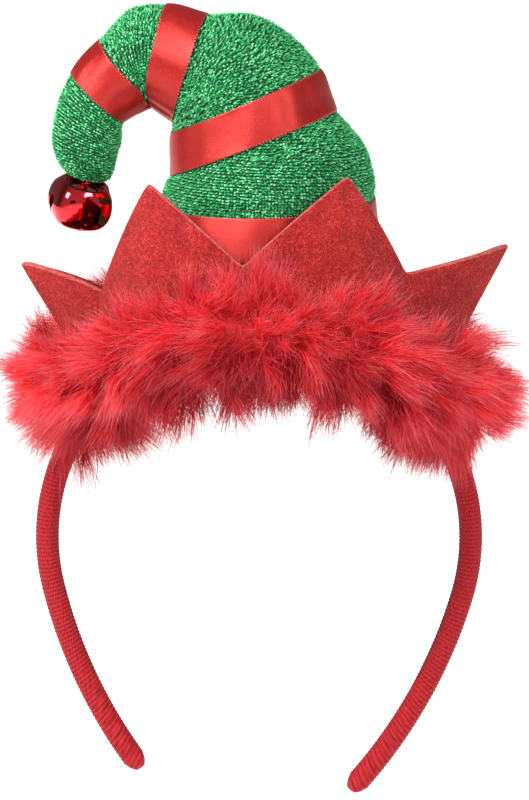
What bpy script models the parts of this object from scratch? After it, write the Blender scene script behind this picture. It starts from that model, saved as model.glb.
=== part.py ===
"""Elf hat headband: a mini plush elf hat on a covered headband.

Metres, +Z up, front toward -Y. The origin is where the band's inner surface
sits on the crown of the head. The hat bends over toward -X.
"""
import math
import random

import bmesh
import bpy
from mathutils import Matrix, Vector
from mathutils.bvhtree import BVHTree

# Space between pieces that touch
CLEARANCE = 0.0003

# Headband: an arch over the head, then two straighter arms that close in
BAND_CROWN_RADIUS = 0.066
BAND_CROWN_ANGLE = math.radians(105.0)
BAND_ARM_RADIUS = 0.160
BAND_HALF_LENGTH = 0.1885
BAND_OFFSET = 0.0035
BAND_THICKNESS = 0.007
BAND_WIDTH = 0.009
BAND_END_ROUNDING = 0.004
BAND_END_SECTIONS = ((0.0, 0.45), (0.35, 0.80), (1.0, 1.0))
BAND_STATIONS = 60
BAND_SIDES = 12

# Oval felt base, cut flat and bent over the band
PAD_HALF_LENGTH = 0.061
PAD_HALF_DEPTH = 0.043
PAD_THICKNESS = 0.002
PAD_RIM_POINTS = 56

# Stuffed hat, set on the base with its bend toward -X
HAT_HALF_WIDTH = 0.040
HAT_HALF_DEPTH = 0.038
HAT_HEIGHT = 0.0930
HAT_SIDES = 28
HAT_TIP_RING = 0.6

# Satin ribbon
RIBBON_THICKNESS = 0.0009

# Felt collar
COLLAR_THICKNESS = 0.002
COLLAR_HEIGHT = 0.055
COLLAR_INSET = 0.0008
COLLAR_STEPS = 6
COLLAR_SHARES = (0.0, 0.3, 0.65, 1.0)

# Feather trim
TRIM_BODY_RADIUS = 0.0125
TRIM_LOCK_LENGTH = 0.0090
TRIM_OUTSET = 0.0055
TRIM_LIFT_FRONT = -0.001
TRIM_LIFT_SIDE = 0.0035
TRIM_STATIONS = 64
TRIM_SIDES = 12
TRIM_AIR = 0.0006
REACH_STEPS = 12

# Shape of one lock of feather, in shares of its foot or of its length
LOCK_WAIST = 0.52
LOCK_WAIST_HEIGHT = 0.5
LOCK_WAIST_BEND = 0.3
LOCK_BEND = 0.22
LOCK_SHORTEST = 0.75
LOCK_LONGEST = 1.05
LOCK_FULL_BODY = 0.85

# Jingle bell
BELL_RADIUS = 0.0094
BELL_HALF_HEIGHT = 0.0076
BELL_WALL = 0.0008
BELL_DISH_RADIUS = 0.0066
BELL_DISH_DEPTH = 0.0022
BELL_DISH_FLOOR = 0.7
BELL_BROW = 0.0006
BELL_FOOT_DROP = 0.0002
BELL_SQUARENESS = 3.5
BELL_FLANK_ABOVE = 0.40
BELL_FLANK_BELOW = 0.85
BELL_FOOT_ANGLE = math.radians(78.0)
BELL_SLIT = 0.0011
BELL_HOLE_RADIUS = 0.0019
BELL_LOOP_RADIUS = 0.0015
BELL_LOOP_WIRE = 0.0006
BELL_LEAN_RIGHT = math.radians(14.0)
BELL_LEAN_FRONT = math.radians(15.0)
BELL_TURN = math.radians(22.0)
BELL_SIDES = 24
LOOP_SIDES = 16
WIRE_SIDES = 8
HOLE_SIDES = 12
PELLET_RADIUS = 0.0022

# Rows of the hat from its seat to its tip. Place is the share of the way along
# the hat. The inner side is the one the hat bends toward. X is in shares of
# HAT_HALF_WIDTH, Z in shares of HAT_HEIGHT above the seat, depth in shares of
# HAT_HALF_DEPTH, and lead is how far the front runs ahead, in shares of depth.
HAT_COLUMNS = ("place", "inner_x", "inner_z", "outer_x", "outer_z", "depth", "lead")
HAT_ROWS = (
    (0.000, -0.985, 0.000, 1.000, 0.000, 1.000, 0.00),
    (0.133, -0.875, 0.184, 0.865, 0.227, 0.900, -0.02),
    (0.233, -0.808, 0.342, 0.803, 0.382, 0.825, -0.05),
    (0.268, -0.800, 0.384, 0.806, 0.446, 0.825, -0.02),
    (0.315, -0.772, 0.418, 0.714, 0.556, 0.785, 0.02),
    (0.361, -0.738, 0.440, 0.498, 0.667, 0.705, 0.05),
    (0.456, -0.737, 0.583, 0.368, 0.800, 0.635, 0.06),
    (0.504, -0.735, 0.596, 0.150, 0.905, 0.615, 0.08),
    (0.553, -0.732, 0.610, -0.165, 0.975, 0.555, 0.08),
    (0.598, -0.728, 0.624, -0.500, 0.972, 0.465, 0.07),
    (0.668, -0.903, 0.676, -0.815, 0.999, 0.405, 0.13),
    (0.707, -0.924, 0.676, -1.090, 0.983, 0.400, 0.07),
    (0.756, -0.943, 0.671, -1.318, 0.879, 0.345, 0.00),
    (0.831, -1.127, 0.617, -1.518, 0.765, 0.285, 0.05),
    (0.892, -1.155, 0.551, -1.632, 0.656, 0.275, 0.08),
    (0.946, -1.188, 0.489, -1.660, 0.551, 0.250, 0.08),
    (0.977, -1.207, 0.450, -1.630, 0.491, 0.220, 0.08),
    (1.000, -1.234, 0.421, -1.575, 0.453, 0.175, 0.08),
)
HAT_TIP = (-1.400, 0.424)

# The ribbons lie between two rows of the hat, named by their numbers
RIBBONS = (
    ("ribbon_base", 1, 2),
    ("ribbon_lower", 5, 6),
    ("ribbon_upper", 9, 10),
    ("ribbon_tip", 12, 13),
)

# Points and valleys of the collar, round from the back. Angle is in degrees
# from the front, height in shares of COLLAR_HEIGHT, lean outward in degrees.
COLLAR_COLUMNS = ("angle", "height", "lean")
COLLAR_ROWS = (
    (-180.0, 0.40, -4.0),
    (-155.0, 0.84, -4.0),
    (-128.0, 0.24, -3.0),
    (-90.0, 0.775, 32.0),
    (-68.0, 0.49, 0.0),
    (-39.0, 0.945, 1.0),
    (-6.8, 0.335, -4.0),
    (26.0, 0.93, -6.0),
    (53.0, 0.56, -4.0),
    (90.0, 0.92, 24.5),
    (128.0, 0.30, -3.0),
    (155.0, 0.86, -4.0),
)

FRONT = Vector((0.0, -1.0, 0.0))
UP = Vector((0.0, 0.0, 1.0))

# Heights of the arch, all measured from its centre
ARCH_CENTRE_Z = BAND_THICKNESS / 2 - BAND_CROWN_RADIUS
BAND_OUTER_RADIUS = BAND_CROWN_RADIUS + BAND_THICKNESS / 2
PAD_INNER_RADIUS = BAND_OUTER_RADIUS + CLEARANCE
PAD_OUTER_RADIUS = PAD_INNER_RADIUS + PAD_THICKNESS
SEAT_RADIUS = PAD_OUTER_RADIUS + CLEARANCE


def clear_scene():
    """Remove every object that is in the file."""
    for obj in list(bpy.data.objects):
        bpy.data.objects.remove(obj, do_unlink=True)


def make_material(name, colour, roughness, metallic=0.0):
    """A plain Principled material."""
    material = bpy.data.materials.new(name)
    material.use_nodes = True
    shader = material.node_tree.nodes["Principled BSDF"]
    shader.inputs["Base Color"].default_value = (*colour, 1.0)
    shader.inputs["Roughness"].default_value = roughness
    shader.inputs["Metallic"].default_value = metallic
    return material


def add_object(name, bm, material, crease=math.radians(50.0)):
    """Turn a bmesh into a named object, smooth except at its creases."""
    mesh = bpy.data.meshes.new(name)
    bm.to_mesh(mesh)
    bm.free()
    mesh.shade_smooth()
    mesh.set_sharp_from_angle(angle=crease)
    mesh.materials.append(material)
    obj = bpy.data.objects.new(name, mesh)
    bpy.context.scene.collection.objects.link(obj)
    return obj


def add_ring(bm, points):
    """Vertices of one closed ring."""
    return [bm.verts.new(point) for point in points]


def bridge(bm, ring_a, ring_b):
    """Quads between two closed rings of the same count."""
    count = len(ring_a)
    for i in range(count):
        j = (i + 1) % count
        bm.faces.new((ring_a[i], ring_a[j], ring_b[j], ring_b[i]))


def fan(bm, ring, centre, outward=True):
    """Triangles from a ring to one centre point."""
    apex = bm.verts.new(centre)
    count = len(ring)
    for i in range(count):
        j = (i + 1) % count
        corners = (ring[i], ring[j], apex) if outward else (ring[j], ring[i], apex)
        bm.faces.new(corners)


def close_across(bm, ring, downward=True):
    """Close a ring with strips that run front to back, so that it keeps the arch.

    The ring starts at one side and has an even count, so that its points pair
    up front and back.
    """
    count = len(ring)
    half = count // 2
    for i in range(half):
        near_a = ring[i]
        near_b = ring[i + 1]
        far_a = ring[(count - i) % count]
        far_b = ring[(count - i - 1) % count]
        corners = [near_a, near_b]
        if far_b is not near_b:
            corners.append(far_b)
        if far_a is not near_a:
            corners.append(far_a)
        bm.faces.new(corners if downward else corners[::-1])


def smooth_column(rows, column, place):
    """Value of a column at a place, on a smooth curve through the rows."""
    places = [row[0] for row in rows]
    values = [row[column] for row in rows]
    last = len(rows) - 2
    index = 0
    while index < last and place > places[index + 1]:
        index += 1
    slopes = []
    for k in (index, index + 1):
        low = max(k - 1, 0)
        high = min(k + 1, len(rows) - 1)
        slopes.append((values[high] - values[low]) / (places[high] - places[low]))
    width = places[index + 1] - places[index]
    t = (place - places[index]) / width
    start = (1 + 2 * t) * (1 - t) ** 2 * values[index]
    end = t * t * (3 - 2 * t) * values[index + 1]
    leave = t * (1 - t) ** 2 * width * slopes[0]
    arrive = t * t * (t - 1) * width * slopes[1]
    return start + end + leave + arrive


def arch_z(x, radius):
    """Height of the arch of a given radius at a distance from its middle."""
    return ARCH_CENTRE_Z + math.sqrt(radius * radius - x * x)


def band_frame(length):
    """Centre point and outward direction of the band at a length from its crown."""
    side = 1.0 if length >= 0 else -1.0
    length = abs(length)
    crown_length = BAND_CROWN_RADIUS * BAND_CROWN_ANGLE
    angle = min(length / BAND_CROWN_RADIUS, BAND_CROWN_ANGLE)
    outward = Vector((math.sin(angle), 0.0, math.cos(angle)))
    point = Vector((0.0, 0.0, ARCH_CENTRE_Z)) + outward * BAND_CROWN_RADIUS
    if length > crown_length:
        centre = point - outward * BAND_ARM_RADIUS
        angle += (length - crown_length) / BAND_ARM_RADIUS
        outward = Vector((math.sin(angle), 0.0, math.cos(angle)))
        point = centre + outward * BAND_ARM_RADIUS
    return Vector((side * point.x, 0.0, point.z)), Vector((side * outward.x, 0.0, outward.z))


def band_ring(length, scale):
    """Points of the band's rounded section."""
    centre, outward = band_frame(length)
    points = []
    for i in range(BAND_SIDES):
        angle = 2 * math.pi * i / BAND_SIDES
        across = outward * math.cos(angle) * BAND_THICKNESS / 2
        along = FRONT * math.sin(angle) * BAND_WIDTH / 2
        points.append(centre + (across + along) * scale)
    return points


def build_headband(material):
    """The covered band, one solid with rounded ends."""
    bm = bmesh.new()
    left_end = BAND_OFFSET - BAND_HALF_LENGTH
    right_end = BAND_OFFSET + BAND_HALF_LENGTH
    left = left_end + BAND_END_ROUNDING
    right = right_end - BAND_END_ROUNDING
    stations = []
    for share, scale in BAND_END_SECTIONS:
        stations.append((left_end + share * BAND_END_ROUNDING, scale))
    for i in range(1, BAND_STATIONS):
        stations.append((left + (right - left) * i / BAND_STATIONS, 1.0))
    for share, scale in reversed(BAND_END_SECTIONS):
        stations.append((right_end - share * BAND_END_ROUNDING, scale))
    rings = [add_ring(bm, band_ring(length, scale)) for length, scale in stations]
    for ring_a, ring_b in zip(rings, rings[1:]):
        bridge(bm, ring_b, ring_a)
    fan(bm, rings[0], band_frame(left_end)[0], outward=False)
    fan(bm, rings[-1], band_frame(right_end)[0])
    bmesh.ops.recalc_face_normals(bm, faces=bm.faces)
    return add_object("headband", bm, material)


def rim_point(angle, outset, radius):
    """Point over the oval base, by its angle from the front, set out from the rim."""
    along = (PAD_HALF_LENGTH + outset) * math.sin(angle)
    turn = along / PAD_OUTER_RADIUS
    y = -(PAD_HALF_DEPTH + outset) * math.cos(angle)
    return Vector((radius * math.sin(turn), y, ARCH_CENTRE_Z + radius * math.cos(turn)))


def rim_outward(angle):
    """Level direction that points away from the oval base."""
    direction = Vector((PAD_HALF_DEPTH * math.sin(angle), -PAD_HALF_LENGTH * math.cos(angle), 0.0))
    return direction.normalized()


def arch_normal(angle, outset):
    """Direction away from the head at a place on the oval base."""
    turn = (PAD_HALF_LENGTH + outset) * math.sin(angle) / PAD_OUTER_RADIUS
    return Vector((math.sin(turn), 0.0, math.cos(turn)))


def build_base_pad(material):
    """The felt oval that the hat stands on."""
    bm = bmesh.new()
    angles = [math.pi / 2 + 2 * math.pi * i / PAD_RIM_POINTS for i in range(PAD_RIM_POINTS)]
    lower = add_ring(bm, [rim_point(angle, 0.0, PAD_INNER_RADIUS) for angle in angles])
    upper = add_ring(bm, [rim_point(angle, 0.0, PAD_OUTER_RADIUS) for angle in angles])
    bridge(bm, lower, upper)
    close_across(bm, lower)
    close_across(bm, upper, downward=False)
    bmesh.ops.recalc_face_normals(bm, faces=bm.faces)
    return add_object("base_pad", bm, material)


def hat_section(place):
    """Centre, half width vector, front vector of the hat at a place along it."""
    value = {
        name: smooth_column(HAT_ROWS, number, place)
        for number, name in enumerate(HAT_COLUMNS)
        if number
    }
    seat = ARCH_CENTRE_Z + SEAT_RADIUS
    inner = Vector((value["inner_x"] * HAT_HALF_WIDTH, 0.0, seat + value["inner_z"] * HAT_HEIGHT))
    outer = Vector((value["outer_x"] * HAT_HALF_WIDTH, 0.0, seat + value["outer_z"] * HAT_HEIGHT))
    across = (outer - inner) / 2
    onward = Vector((-across.z, 0.0, across.x)).normalized()
    depth = value["depth"] * HAT_HALF_DEPTH
    front = FRONT * depth + onward * depth * value["lead"]
    return (inner + outer) / 2, across, front


def hat_raw(place, angle):
    """Point of the hat's surface. Angle 0 is the outer side, a quarter turn the front."""
    centre, across, front = hat_section(place)
    point = centre + across * math.cos(angle) + front * math.sin(angle)
    settle = 1.0 - place / HAT_ROWS[1][0]
    if settle <= 0.0:
        return point
    drop = arch_z(point.x, SEAT_RADIUS) - (ARCH_CENTRE_Z + SEAT_RADIUS)
    return point + UP * drop * settle ** 2


def hat_point(place, angle, lift=0.0):
    """Point on the hat, or at a distance above its surface."""
    point = hat_raw(place, angle)
    if lift == 0.0:
        return point
    step = 0.002
    onward = hat_raw(min(place + step, 1.0), angle) - hat_raw(max(place - step, 0.0), angle)
    around = hat_raw(place, angle + step) - hat_raw(place, angle - step)
    return point + onward.cross(around).normalized() * lift


def hat_places():
    """Places of the hat's rings: each row, and halfway between rows."""
    places = [HAT_ROWS[0][0]]
    for row, following in zip(HAT_ROWS, HAT_ROWS[1:]):
        places.append((row[0] + following[0]) / 2)
        places.append(following[0])
    return places


def hat_ring(place, lift=0.0):
    """Points of one ring of the hat."""
    step = 2 * math.pi / HAT_SIDES
    return [hat_point(place, i * step, lift) for i in range(HAT_SIDES)]


def hat_tip_point():
    """The middle of the hat's blunt end."""
    seat = ARCH_CENTRE_Z + SEAT_RADIUS
    return Vector((HAT_TIP[0] * HAT_HALF_WIDTH, 0.0, seat + HAT_TIP[1] * HAT_HEIGHT))


def build_hat_cone(material):
    """The stuffed plush hat, one solid from its seat to its blunt tip."""
    bm = bmesh.new()
    rings = [add_ring(bm, hat_ring(place)) for place in hat_places()]
    for ring_a, ring_b in zip(rings, rings[1:]):
        bridge(bm, ring_a, ring_b)
    close_across(bm, rings[0])
    tip = hat_tip_point()
    inner_ring = add_ring(bm, [tip.lerp(vert.co, HAT_TIP_RING) for vert in rings[-1]])
    bridge(bm, rings[-1], inner_ring)
    fan(bm, inner_ring, tip)
    bmesh.ops.recalc_face_normals(bm, faces=bm.faces)
    return add_object("hat_cone", bm, material)


def build_ribbon(name, first_row, last_row, material):
    """A flat ring of ribbon round the hat, just clear of it."""
    bm = bmesh.new()
    start = HAT_ROWS[first_row][0]
    end = HAT_ROWS[last_row][0]
    places = (start, (start + end) / 2, end)
    inner = [add_ring(bm, hat_ring(place, CLEARANCE)) for place in places]
    outer = [add_ring(bm, hat_ring(place, CLEARANCE + RIBBON_THICKNESS)) for place in places]
    loop = outer + inner[::-1]
    for ring_a, ring_b in zip(loop, loop[1:] + loop[:1]):
        bridge(bm, ring_a, ring_b)
    bmesh.ops.recalc_face_normals(bm, faces=bm.faces)
    return add_object(name, bm, material)


def collar_columns():
    """Angle, height and lean of each upright line of the collar."""
    rows = [dict(zip(COLLAR_COLUMNS, row)) for row in COLLAR_ROWS]
    closing = dict(rows[0])
    closing["angle"] += 360.0
    rows.append(closing)
    columns = []
    for row, following in zip(rows, rows[1:]):
        for k in range(COLLAR_STEPS):
            t = k / COLLAR_STEPS
            angle, height, lean = (row[name] + (following[name] - row[name]) * t for name in COLLAR_COLUMNS)
            columns.append((math.radians(angle), height * COLLAR_HEIGHT, math.radians(lean)))
    return columns


def build_felt_collar(material):
    """The standing zigzag collar, a felt wall round the foot of the hat."""
    bm = bmesh.new()
    faces = []
    for depth in (0.0, COLLAR_THICKNESS):
        rows = []
        for share in COLLAR_SHARES:
            points = []
            for angle, height, lean in collar_columns():
                base = rim_point(angle, -COLLAR_INSET, SEAT_RADIUS)
                outward = rim_outward(angle)
                rise = UP * math.cos(lean) + outward * math.sin(lean)
                inward = UP * math.sin(lean) - outward * math.cos(lean)
                point = base + rise * height * share + inward * depth
                if share == 0.0:
                    point = rim_point(angle, -COLLAR_INSET - depth, SEAT_RADIUS)
                points.append(point)
            rows.append(add_ring(bm, points))
        faces.append(rows)
    outer, inner = faces
    loop = outer + inner[::-1]
    for ring_a, ring_b in zip(loop, loop[1:] + loop[:1]):
        bridge(bm, ring_a, ring_b)
    bmesh.ops.recalc_face_normals(bm, faces=bm.faces)
    return add_object("felt_collar", bm, material, crease=math.radians(35.0))


def trim_frame(angle):
    """Centre, outward and upward directions of the trim round the rim."""
    lift = TRIM_LIFT_FRONT + (TRIM_LIFT_SIDE - TRIM_LIFT_FRONT) * math.sin(angle) ** 2
    centre = rim_point(angle, TRIM_OUTSET, PAD_OUTER_RADIUS + lift)
    step = 0.01
    onward = rim_point(angle + step, TRIM_OUTSET, PAD_OUTER_RADIUS + lift) - centre
    upward = arch_normal(angle, TRIM_OUTSET)
    outward = onward.cross(upward).normalized()
    if outward.dot(rim_outward(angle)) < 0:
        outward = -outward
    upward = (upward - outward * upward.dot(outward)).normalized()
    return centre, outward, upward


def surface_tree(objects):
    """One search tree over the faces of several finished pieces."""
    verts = []
    polygons = []
    for obj in objects:
        offset = len(verts)
        verts.extend(vert.co.copy() for vert in obj.data.vertices)
        polygons.extend([offset + i for i in face.vertices] for face in obj.data.polygons)
    return BVHTree.FromPolygons(verts, polygons)


def free_reach(tree, start, direction, wanted):
    """How far a strand can reach before it comes too near another piece."""
    for i in range(1, REACH_STEPS + 1):
        reach = wanted * i / REACH_STEPS
        distance = tree.find_nearest(start + direction * reach)[3]
        if distance < TRIM_AIR:
            return wanted * (i - 1) / REACH_STEPS
    return wanted


def build_feather_trim(material, neighbours):
    """A full ring of feather trim with tapered locks, kept clear of its neighbours."""
    tree = surface_tree(neighbours)
    draw = random.Random(7)
    fine_stations = 2 * TRIM_STATIONS
    fine_sides = 2 * TRIM_SIDES
    frames = [trim_frame(2 * math.pi * i / fine_stations) for i in range(fine_stations)]
    reach = []
    for centre, outward, upward in frames:
        line = []
        for k in range(fine_sides):
            turn = 2 * math.pi * k / fine_sides
            direction = outward * math.cos(turn) + upward * math.sin(turn)
            line.append(free_reach(tree, centre, direction, TRIM_BODY_RADIUS))
        reach.append(line)

    def narrowest(i, k):
        """The least reach near a place, so that no face cuts a corner."""
        near = []
        for di in (-1, 0, 1):
            for dk in (-1, 0, 1):
                near.append(reach[(i + di) % fine_stations][(k + dk) % fine_sides])
        return min(near)

    bm = bmesh.new()
    rings = []
    for i in range(TRIM_STATIONS):
        centre, outward, upward = frames[2 * i]
        points = []
        for k in range(TRIM_SIDES):
            turn = 2 * math.pi * k / TRIM_SIDES
            direction = outward * math.cos(turn) + upward * math.sin(turn)
            points.append(centre + direction * narrowest(2 * i, 2 * k))
        rings.append(add_ring(bm, points))
    quads = []
    for i in range(TRIM_STATIONS):
        ring_a = rings[i]
        ring_b = rings[(i + 1) % TRIM_STATIONS]
        for k in range(TRIM_SIDES):
            j = (k + 1) % TRIM_SIDES
            face = bm.faces.new((ring_a[k], ring_a[j], ring_b[j], ring_b[k]))
            quads.append((i, k, face))
    bmesh.ops.recalc_face_normals(bm, faces=bm.faces)
    bm.normal_update()
    for i, k, face in quads:
        bend = Vector([draw.uniform(-LOCK_BEND, LOCK_BEND) for axis in range(3)])
        length = TRIM_LOCK_LENGTH * draw.uniform(LOCK_SHORTEST, LOCK_LONGEST)
        if (i + k) % 2:
            continue
        middle = face.calc_center_median()
        centre = frames[2 * i + 1][0]
        if (middle - centre).length < TRIM_BODY_RADIUS * LOCK_FULL_BODY:
            continue
        if free_reach(tree, middle, face.normal, length + TRIM_AIR) < length:
            continue
        grow_lock(bm, face, length, bend * length)
    return add_object("feather_trim", bm, material)


def grow_lock(bm, face, length, bend):
    """Raise one tapered lock of feather from a face."""
    middle = face.calc_center_median()
    normal = face.normal.copy()
    corners = list(face.verts)
    waist = []
    for corner in corners:
        side = middle.lerp(corner.co, LOCK_WAIST)
        waist.append(bm.verts.new(side + normal * length * LOCK_WAIST_HEIGHT + bend * LOCK_WAIST_BEND))
    apex = bm.verts.new(middle + normal * length + bend)
    bm.faces.remove(face)
    for a in range(4):
        b = (a + 1) % 4
        bm.faces.new((corners[a], corners[b], waist[b], waist[a]))
        bm.faces.new((waist[a], waist[b], apex))


def bell_radius(turn, radius):
    """Rounded square outline of the bell, with its corners at the holes."""
    side = abs(math.cos(turn)) ** BELL_SQUARENESS + abs(math.sin(turn)) ** BELL_SQUARENESS
    return radius * side ** (-1.0 / BELL_SQUARENESS)


def bell_flank(inset):
    """Radius and height of the bell's rings from its foot to its shoulder."""
    radius = BELL_RADIUS - inset
    half = BELL_HALF_HEIGHT - inset
    rings = []
    for share in (-1.0, -0.77, -0.51, -0.26, 0.0, 0.26, 0.49):
        height = math.sin(BELL_FOOT_ANGLE * share) / math.sin(BELL_FOOT_ANGLE)
        flank = BELL_FLANK_ABOVE if share > 0.0 else BELL_FLANK_BELOW
        rings.append((radius * math.cos(BELL_FOOT_ANGLE * share) ** flank, half * height))
    return rings


def bell_dish():
    """Radius and height of the rolled rim and the floor of the dish."""
    top = BELL_HALF_HEIGHT
    return [
        (BELL_DISH_RADIUS + 2 * BELL_BROW, top - BELL_BROW),
        (BELL_DISH_RADIUS + BELL_BROW / 2, top),
        (BELL_DISH_RADIUS - BELL_BROW, top - BELL_BROW),
        (BELL_DISH_RADIUS * BELL_DISH_FLOOR, top - BELL_DISH_DEPTH),
    ]


def bell_form(flank, dish):
    """Closed round form, square at its flank and round at its dish."""
    bm = bmesh.new()
    rings = []
    for square, outline in ((True, flank), (False, dish)):
        for radius, z in outline:
            points = []
            for i in range(BELL_SIDES):
                turn = 2 * math.pi * i / BELL_SIDES
                wide = bell_radius(turn + math.pi / 4, radius) if square else radius
                points.append(Vector((wide * math.cos(turn), wide * math.sin(turn), z)))
            rings.append(add_ring(bm, points))
    for ring_a, ring_b in zip(rings, rings[1:]):
        bridge(bm, ring_a, ring_b)
    fan(bm, rings[0], (0.0, 0.0, flank[0][1] - BELL_FOOT_DROP), outward=False)
    fan(bm, rings[-1], (0.0, 0.0, dish[-1][1]))
    bmesh.ops.recalc_face_normals(bm, faces=bm.faces)
    return bm


def cutter(name, bm):
    """A hidden object that only cuts another."""
    mesh = bpy.data.meshes.new(name)
    bm.to_mesh(mesh)
    bm.free()
    obj = bpy.data.objects.new(name, mesh)
    bpy.context.scene.collection.objects.link(obj)
    obj.hide_render = True
    obj.display_type = "WIRE"
    return obj


def add_boolean(obj, other, operation):
    """Cut or join one object with another, kept as a modifier."""
    modifier = obj.modifiers.new(other.name, "BOOLEAN")
    modifier.operation = operation
    modifier.solver = "EXACT"
    modifier.object = other


def slit_cutter(name, turn):
    """A thin upright plate that splits the lower half of the bell."""
    bm = bmesh.new()
    depth = 2 * BELL_HALF_HEIGHT
    place = Matrix.Rotation(turn, 4, "Z") @ Matrix.Translation((0.0, 0.0, -depth / 2))
    size = Matrix.Diagonal((4 * BELL_RADIUS, BELL_SLIT, depth, 1.0))
    bmesh.ops.create_cube(bm, size=1.0, matrix=place @ size)
    return cutter(name, bm)


def hole_cutter(name, turn):
    """A round bar through two opposite corners of the bell."""
    bm = bmesh.new()
    bmesh.ops.create_cone(
        bm,
        cap_ends=True,
        segments=HOLE_SIDES,
        radius1=BELL_HOLE_RADIUS,
        radius2=BELL_HOLE_RADIUS,
        depth=4 * BELL_RADIUS,
        matrix=Matrix.Rotation(turn, 4, "Z") @ Matrix.Rotation(math.pi / 2, 4, "Y"),
    )
    return cutter(name, bm)


def build_loop(name):
    """The wire loop that stands in the bell's dish."""
    bm = bmesh.new()
    rings = []
    for i in range(LOOP_SIDES):
        angle = 2 * math.pi * i / LOOP_SIDES
        outward = Vector((math.cos(angle), 0.0, math.sin(angle)))
        centre = outward * BELL_LOOP_RADIUS + UP * bell_loop_centre()
        points = []
        for k in range(WIRE_SIDES):
            turn = 2 * math.pi * k / WIRE_SIDES
            points.append(centre + (outward * math.cos(turn) + FRONT * math.sin(turn)) * BELL_LOOP_WIRE)
        rings.append(add_ring(bm, points))
    for ring_a, ring_b in zip(rings, rings[1:] + rings[:1]):
        bridge(bm, ring_a, ring_b)
    bmesh.ops.recalc_face_normals(bm, faces=bm.faces)
    return cutter(name, bm)


def bell_loop_centre():
    """Height of the loop's centre above the middle of the bell."""
    return BELL_HALF_HEIGHT - BELL_DISH_DEPTH + BELL_LOOP_RADIUS


def bell_matrix():
    """The bell hangs by its loop from the hat's tip, leaning right and forward."""
    axis = Vector((math.tan(BELL_LEAN_RIGHT), -math.tan(BELL_LEAN_FRONT), 1.0)).normalized()
    loop_top = bell_loop_centre() + BELL_LOOP_RADIUS + BELL_LOOP_WIRE
    centre = hat_tip_point() - axis * (loop_top + CLEARANCE)
    turn = axis.to_track_quat("Z", "Y").to_matrix().to_4x4()
    return Matrix.Translation(centre) @ turn @ Matrix.Rotation(BELL_TURN, 4, "Z")


def build_jingle_bell(material):
    """The hollow bell with its dish, loop, crossed slits and corner holes."""
    obj = add_object("jingle_bell", bell_form(bell_flank(0.0), bell_dish()), material)
    ceiling = (BELL_DISH_RADIUS * BELL_DISH_FLOOR, BELL_HALF_HEIGHT - BELL_DISH_DEPTH - BELL_WALL)
    hollow = cutter("bell_hollow", bell_form(bell_flank(BELL_WALL), [ceiling]))
    tools = [(hollow, "DIFFERENCE")]
    for i, turn in enumerate((math.pi / 4, 3 * math.pi / 4)):
        tools.append((slit_cutter(f"bell_slit_{i}", turn), "DIFFERENCE"))
        tools.append((hole_cutter(f"bell_hole_{i}", turn), "DIFFERENCE"))
    tools.append((build_loop("bell_loop"), "UNION"))
    place = bell_matrix()
    obj.matrix_world = place
    for tool, operation in tools:
        tool.matrix_world = place
        add_boolean(obj, tool, operation)
    return obj


def build_bell_pellet(material):
    """The loose pellet at the foot of the bell's hollow."""
    bm = bmesh.new()
    bmesh.ops.create_uvsphere(bm, u_segments=12, v_segments=8, radius=PELLET_RADIUS)
    obj = add_object("bell_pellet", bm, material)
    floor = -(BELL_HALF_HEIGHT - BELL_WALL) + PELLET_RADIUS + CLEARANCE
    obj.matrix_world = bell_matrix() @ Matrix.Translation((0.0, 0.0, floor))
    return obj


def main():
    """Build every piece."""
    clear_scene()
    band_red = make_material("band_fabric", (0.55, 0.02, 0.03), 0.85)
    felt_red = make_material("red_felt", (0.50, 0.02, 0.03), 0.95)
    plush_green = make_material("green_plush", (0.01, 0.25, 0.06), 0.95)
    satin_red = make_material("red_satin", (0.70, 0.04, 0.04), 0.35)
    feather_red = make_material("red_feather", (0.75, 0.03, 0.06), 0.90)
    bell_red = make_material("red_metal", (0.60, 0.01, 0.02), 0.12, 1.0)
    steel = make_material("steel", (0.45, 0.45, 0.46), 0.30, 1.0)

    headband = build_headband(band_red)
    base_pad = build_base_pad(felt_red)
    hat_cone = build_hat_cone(plush_green)
    ribbons = [build_ribbon(name, first, last, satin_red) for name, first, last in RIBBONS]
    felt_collar = build_felt_collar(felt_red)
    build_feather_trim(feather_red, [headband, base_pad, hat_cone, felt_collar] + ribbons)
    build_jingle_bell(bell_red)
    build_bell_pellet(steel)


main()
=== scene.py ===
"""Looks of the elf hat headband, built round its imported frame.

Metres, +Z up, front toward -Y, and the hat's bent tip toward -X.
"""
import math

import bmesh
import bpy
import numpy as np
from mathutils import Matrix, Vector
from mathutils.bvhtree import BVHTree


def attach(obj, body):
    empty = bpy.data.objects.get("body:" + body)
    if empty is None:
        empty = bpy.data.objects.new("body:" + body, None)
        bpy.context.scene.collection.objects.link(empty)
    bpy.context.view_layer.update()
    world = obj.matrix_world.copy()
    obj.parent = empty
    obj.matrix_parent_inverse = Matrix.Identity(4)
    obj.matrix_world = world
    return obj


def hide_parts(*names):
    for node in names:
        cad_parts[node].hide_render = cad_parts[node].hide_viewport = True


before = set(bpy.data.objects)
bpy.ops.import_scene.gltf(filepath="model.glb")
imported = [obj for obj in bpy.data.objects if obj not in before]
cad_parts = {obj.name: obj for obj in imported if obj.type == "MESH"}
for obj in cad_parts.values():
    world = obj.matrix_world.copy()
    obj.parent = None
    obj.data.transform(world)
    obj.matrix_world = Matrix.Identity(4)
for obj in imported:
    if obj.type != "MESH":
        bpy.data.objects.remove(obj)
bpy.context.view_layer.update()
bpy.ops.object.select_all(action="DESELECT")

MM = 0.001
FULL_TURN = 2 * math.pi
UP = Vector((0.0, 0.0, 1.0))

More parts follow.
